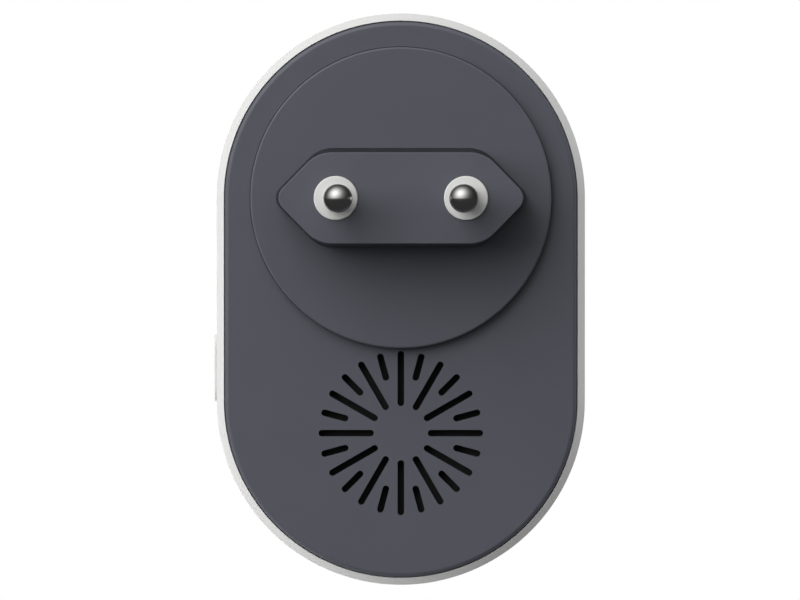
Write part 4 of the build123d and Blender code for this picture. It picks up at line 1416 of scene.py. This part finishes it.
        finished(body, DARK, "plug_carrier", "housing")
        # Painted shade: the outer side walls of the plug body get the second, much darker material,
        # which paints them as a dark band of shade round the plug face.
        body.data.materials.append(known_material(PAINTED_SHADE_WALL))
        across, up = self.painted_shade_from
        for face in body.data.polygons:
            depth = -face.center.y
            outside = face.normal.dot(Vector((face.center.x, 0, face.center.z))) > 0
            on_wall = abs(face.normal.y) < 0.5 and self.edge_round < depth < self.disc_face
            clear = abs(face.center.x) > across or abs(face.center.z) > up
            face.material_index = 1 if outside and on_wall and clear else 0

    def pin(self, side: int, name: str) -> None:
        """Builds and dresses one pin.

        Args:
            side: Which pin.
            name: left or right.
        """
        path = soft_path(
            (0.0, -self.pin_length, 0),
            (self.pin_radius, -self.pin_length, self.pin_radius * 0.985),
            (self.pin_radius, -self.sleeve_length, self.soft),
            (self.core_radius, -self.sleeve_length, 0),
            (self.core_radius, self.flange_end, 0),
            (self.head_radius, self.flange_end, self.soft),
            (self.head_radius, self.head_end, self.soft),
            (self.tail_radius, self.head_end, 0),
            (self.tail_radius, self.tail_depth, self.tail_round),
            (0.0, self.tail_depth, 0),
            steps=20,
        )
        piece = turned(f"pin_{name}", path, steps=96)
        piece.data.transform(self.pin_place(side))
        finished(piece, PLATED, f"plug_pin_{name}", "housing")

    def sleeve(self, side: int, name: str) -> None:
        """Builds and dresses one sleeve.

        Args:
            side: Which pin it is on.
            name: left or right.
        """
        bore = self.core_radius + self.core_gap
        path = soft_path(
            (bore, -self.sleeve_length, 0),
            (self.sleeve_radius, -self.sleeve_length, self.sleeve_tip_round),
            (self.sleeve_radius, -self.collar_proud, self.collar_root_round),
            (self.collar_radius, -self.collar_proud, self.collar_round),
            (self.collar_radius, self.collar_end, 0),
            (self.flange_radius, self.collar_end, self.soft),
            (self.flange_radius, self.flange_end, self.soft),
            (bore, self.flange_end, 0),
            steps=8,
        )
        piece = turned(f"sleeve_{name}", path, ring=True, steps=96)
        piece.data.transform(self.pin_place(side))
        finished(piece, SLEEVE, f"pin_sleeve_{name}", "housing")

    def build(self) -> None:
        """Builds and dresses the whole plug."""
        self.carrier()
        for side, name in ((1, "left"), (-1, "right")):
            self.pin(side, name)
            self.sleeve(side, name)


@dataclass
class Button:
    """White push button: cap, hidden flange and stem."""

    flange_grow: float = 0.95 * MM
    flange_thick: float = 1.0 * MM
    stem_radius: float = 1.4 * MM
    edge_round: float = 0.15 * MM
    flange_round: float = 0.1 * MM
    stem_root: float = 0.3 * MM
    wall_gap: float = 0.1 * MM

    def build(self, housing: Housing) -> None:
        """Builds and dresses the button.

        Args:
            housing: The housing that it stands in.
        """
        low, high = (Vector(corner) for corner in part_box("side_button"))
        depth, height = (low.y + high.y) / 2, (low.z + high.z) / 2
        length = high.z - low.z - 2 * self.flange_grow
        width = high.y - low.y - 2 * self.flange_grow
        outline = upright_obround(length, width, depth, height, Facing.SIDE)
        flange_outer = housing.radius - housing.wall - self.wall_gap
        flange_inner = flange_outer - self.flange_thick
        path = soft_path(
            (self.stem_radius - width / 2, flange_inner, 0),
            (self.flange_grow, flange_inner, self.flange_round),
            (self.flange_grow, flange_outer, self.flange_round),
            (0.0, flange_outer, 0),
            (0.0, high.x, self.edge_round),
            (-width / 4, high.x, 0),
        )
        cap = lofted("button_cap", outline, path)
        ring = Arc(depth, height, self.stem_radius, 0, 360)
        stem = Outline((ring,), arc_steps=40, facing=Facing.SIDE)
        worked(cap, prism("stem", stem, low.x, flange_inner + self.stem_root), Cut.ADD)
        finished(cap, WHITE, "side_button", "button")


@dataclass
class Window:
    """Clear indicator window in the front."""

    flange_thick: float = 1.2 * MM
    flange_round: float = 0.15 * MM
    radius: float = 1.6 * MM
    end_round: float = 0.3 * MM

    def build(self) -> None:
        """Builds and dresses the window."""
        low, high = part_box("light_pipe")
        start, end = -high[1], -low[1]
        flange = (high[0] - low[0]) / 2
        path = soft_path(
            (0.0, start, 0),
            (flange, start, self.flange_round),
            (flange, start + self.flange_thick, self.flange_round),
            (self.radius, start + self.flange_thick, 0),
            (self.radius, end, self.end_round),
            (0.0, end, 0),
        )
        piece = turned("indicator_window", path, steps=64)
        finished(piece, CLEAR, "light_pipe", "housing")


@dataclass
class Inside:
    """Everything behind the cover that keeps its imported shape."""

    finishes: dict[str, Finish] = field(default_factory=lambda: dict(CAD_FINISHES))

    def dress(self) -> None:
        """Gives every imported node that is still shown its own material."""
        for node, finish in self.finishes.items():
            material = known_material(finish)
            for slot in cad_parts[node].material_slots:
                slot.material = material
            log.info("%s: dressed in %s", node, finish.name)


# ---- Studio ---------------------------------------------------------------------------------


@dataclass(frozen=True)
class Softbox:
    """One round light: its place as two angles and a distance, its diameter and its power."""

    name: str
    lean: float
    turn: float
    distance: float
    size: float
    power: float

    def make(self) -> None:
        """Makes the light, facing the object and hidden from the camera and from gloss."""
        data = bpy.data.lights.new(self.name, "AREA")
        data.shape = "DISK"
        data.size = self.size
        data.energy = self.power
        lamp = bpy.data.objects.new(self.name, data)
        bpy.context.scene.collection.objects.link(lamp)
        centre = Vector((0, 0, (CAD_BOX[0][2] + CAD_BOX[1][2]) / 2))
        lamp.location = centre + direction(self.lean, self.turn) * self.distance
        lamp.rotation_euler = (centre - lamp.location).to_track_quat("-Z", "Y").to_euler()
        lamp.visible_camera = False
        lamp.visible_glossy = False


def direction(lean: float, turn: float) -> Vector:
    """A direction from its lean off the plug's axis and its turn from +X to +Z, in degrees."""
    a, b = math.radians(lean), math.radians(turn)
    return Vector((math.sin(a) * math.cos(b), math.cos(a), math.sin(a) * math.sin(b)))


@dataclass
class Studio:
    """Camera, lights, white surroundings and a pale floor."""

    distance: float = 1.1
    elevation: float = 1.0
    picture_scale: float = 6930.0
    frame_width: int = 800
    sensor: float = 36.0
    aim_shift: tuple[float, float] = (0.12 * MM, -0.07 * MM)
    floor_drop: float = 0.064
    floor_radius: float = 0.9
    floor_thick: float = 0.002
    fade_from: float = 0.15
    fade_share: float = 0.9
    fade_least: float = 0.55
    glow_lean: float = 52.0
    glow_turn: float = 58.0
    glow_spread: float = 29.0
    glow_strength: float = 2.0
    upper_fill: float = 0.03
    lower_fill: float = 0.045
    horizon: float = 0.02
    softboxes: tuple[Softbox, ...] = (
        Softbox("key", 52.0, 40.0, 1.1, 1.35, 13.2),
        Softbox("side_low", 93.0, -52.0, 0.8, 0.6, 4.8),
        Softbox("side_high", 93.0, 165.0, 0.8, 0.5, 2.7),
        Softbox("back", 180.0, 0.0, 0.16, 2.4, 14.0),
        Softbox("front", 150.0, 130.0, 0.9, 0.5, 5.0),
    )

    def camera(self, housing: Housing, cover: Cover) -> None:
        """Makes the camera.

        Args:
            housing: Gives the middle of the picture.
            cover: Gives the plane that the scale is set on.
        """
        across, up = self.aim_shift
        aim = Vector((across, -cover.face, (housing.top_z + housing.bottom_z) / 2 + up))
        tilt = math.radians(self.elevation)
        data = bpy.data.cameras.new("camera")
        data.sensor_width = self.sensor
        data.lens = self.picture_scale * self.sensor * self.distance / self.frame_width
        data.clip_start = 0.05
        data.clip_end = 20
        camera = bpy.data.objects.new("camera", data)
        bpy.context.scene.collection.objects.link(camera)
        camera.location = aim + Vector((0, math.cos(tilt), math.sin(tilt))) * self.distance
        camera.rotation_euler = (aim - camera.location).to_track_quat("-Z", "Y").to_euler()
        bpy.context.scene.camera = camera

    def world(self) -> None:
        """Makes the surroundings: a broad soft key, dim fill, and white for the camera."""
        world = bpy.data.worlds.new("surroundings")
        bpy.context.scene.world = world
        world.use_nodes = True
        sky = Tree(world.node_tree)
        place = sky.node("TexCoord").outputs["Generated"]
        height = sky.node("SeparateXYZ", {0: place}).outputs["Z"]
        towards = {0: place, 1: direction(self.glow_lean, self.glow_turn)}
        facing = sky.node("VectorMath", towards, operation="DOT_PRODUCT").outputs["Value"]
        sharp = 1 / math.radians(self.glow_spread) ** 2
        glow = sky.maths("EXPONENT", sky.maths("MULTIPLY_ADD", facing, sharp, -sharp))
        bright = sky.maths("MULTIPLY_ADD", glow, self.glow_strength, self.upper_fill)
        edges = {0: height, 1: -self.horizon, 2: self.horizon}
        above = sky.maths("MULTIPLY", bright, sky.node("MapRange", edges).outputs[0])
        under = sky.node("MapRange", {**edges, 3: self.lower_fill, 4: 0.0}).outputs[0]
        lit = sky.node("Background", {1: sky.maths("ADD", above, under)}).outputs[0]
        white = sky.node("Background", {0: (1, 1, 1, 1), 1: 1.0}).outputs[0]
        seen = sky.node("LightPath").outputs["Is Camera Ray"]
        sky.node("OutputWorld", {0: sky.node("MixShader", {0: seen, 1: lit, 2: white}).outputs[0]})

    def floor(self) -> None:
        """A pale floor that fades to white and neither lights nor shades the object."""
        level = CAD_BOX[0][2] - self.floor_drop
        disc = prism("floor", circle(self.floor_radius, steps=128), 0.0, self.floor_thick)
        laid = Matrix.Translation((0, 0, level)) @ Matrix.Rotation(math.pi / 2, 4, "X")
        disc.data.transform(laid)
        paint = Paint("pale_floor")
        paint.set(Base_Color=(0.9, 0.9, 0.9, 1), Roughness=0.8)
        reach = paint.node("VectorMath", {0: paint.place}, operation="LENGTH").outputs["Value"]
        near, far = self.fade_from, self.floor_radius * self.fade_share
        limits = {"Value": reach, "From Min": near, "From Max": far, "To Min": self.fade_least}
        fade = paint.node("MapRange", limits).outputs[0]
        glow = paint.node("Emission").outputs[0]
        mix = paint.node("MixShader", {0: fade, 1: paint.shader.outputs[0], 2: glow})
        paint.feed(paint.output, {"Surface": mix.outputs[0]})
        disc.data.materials.append(paint.material)
        for kind in ("diffuse", "glossy", "transmission", "shadow"):
            setattr(disc, f"visible_{kind}", False)

    def build(self, housing: Housing, cover: Cover) -> None:
        """Makes the whole studio.

        Args:
            housing: The housing.
            cover: The cover.
        """
        self.camera(housing, cover)
        for softbox in self.softboxes:
            softbox.make()
        self.world()
        self.floor()
        bpy.context.scene.view_settings.view_transform = "Standard"


def main() -> None:
    """Builds the object, dresses it and lights it."""
    logging.basicConfig(level=logging.INFO, format="%(message)s")
    housing = Housing()
    cover = Cover()
    housing.build()
    cover.build(housing)
    Plug().build()
    Button().build(housing)
    Window().build()
    Inside().dress()
    Studio().build(housing, cover)


if __name__ == "__main__":
    main()
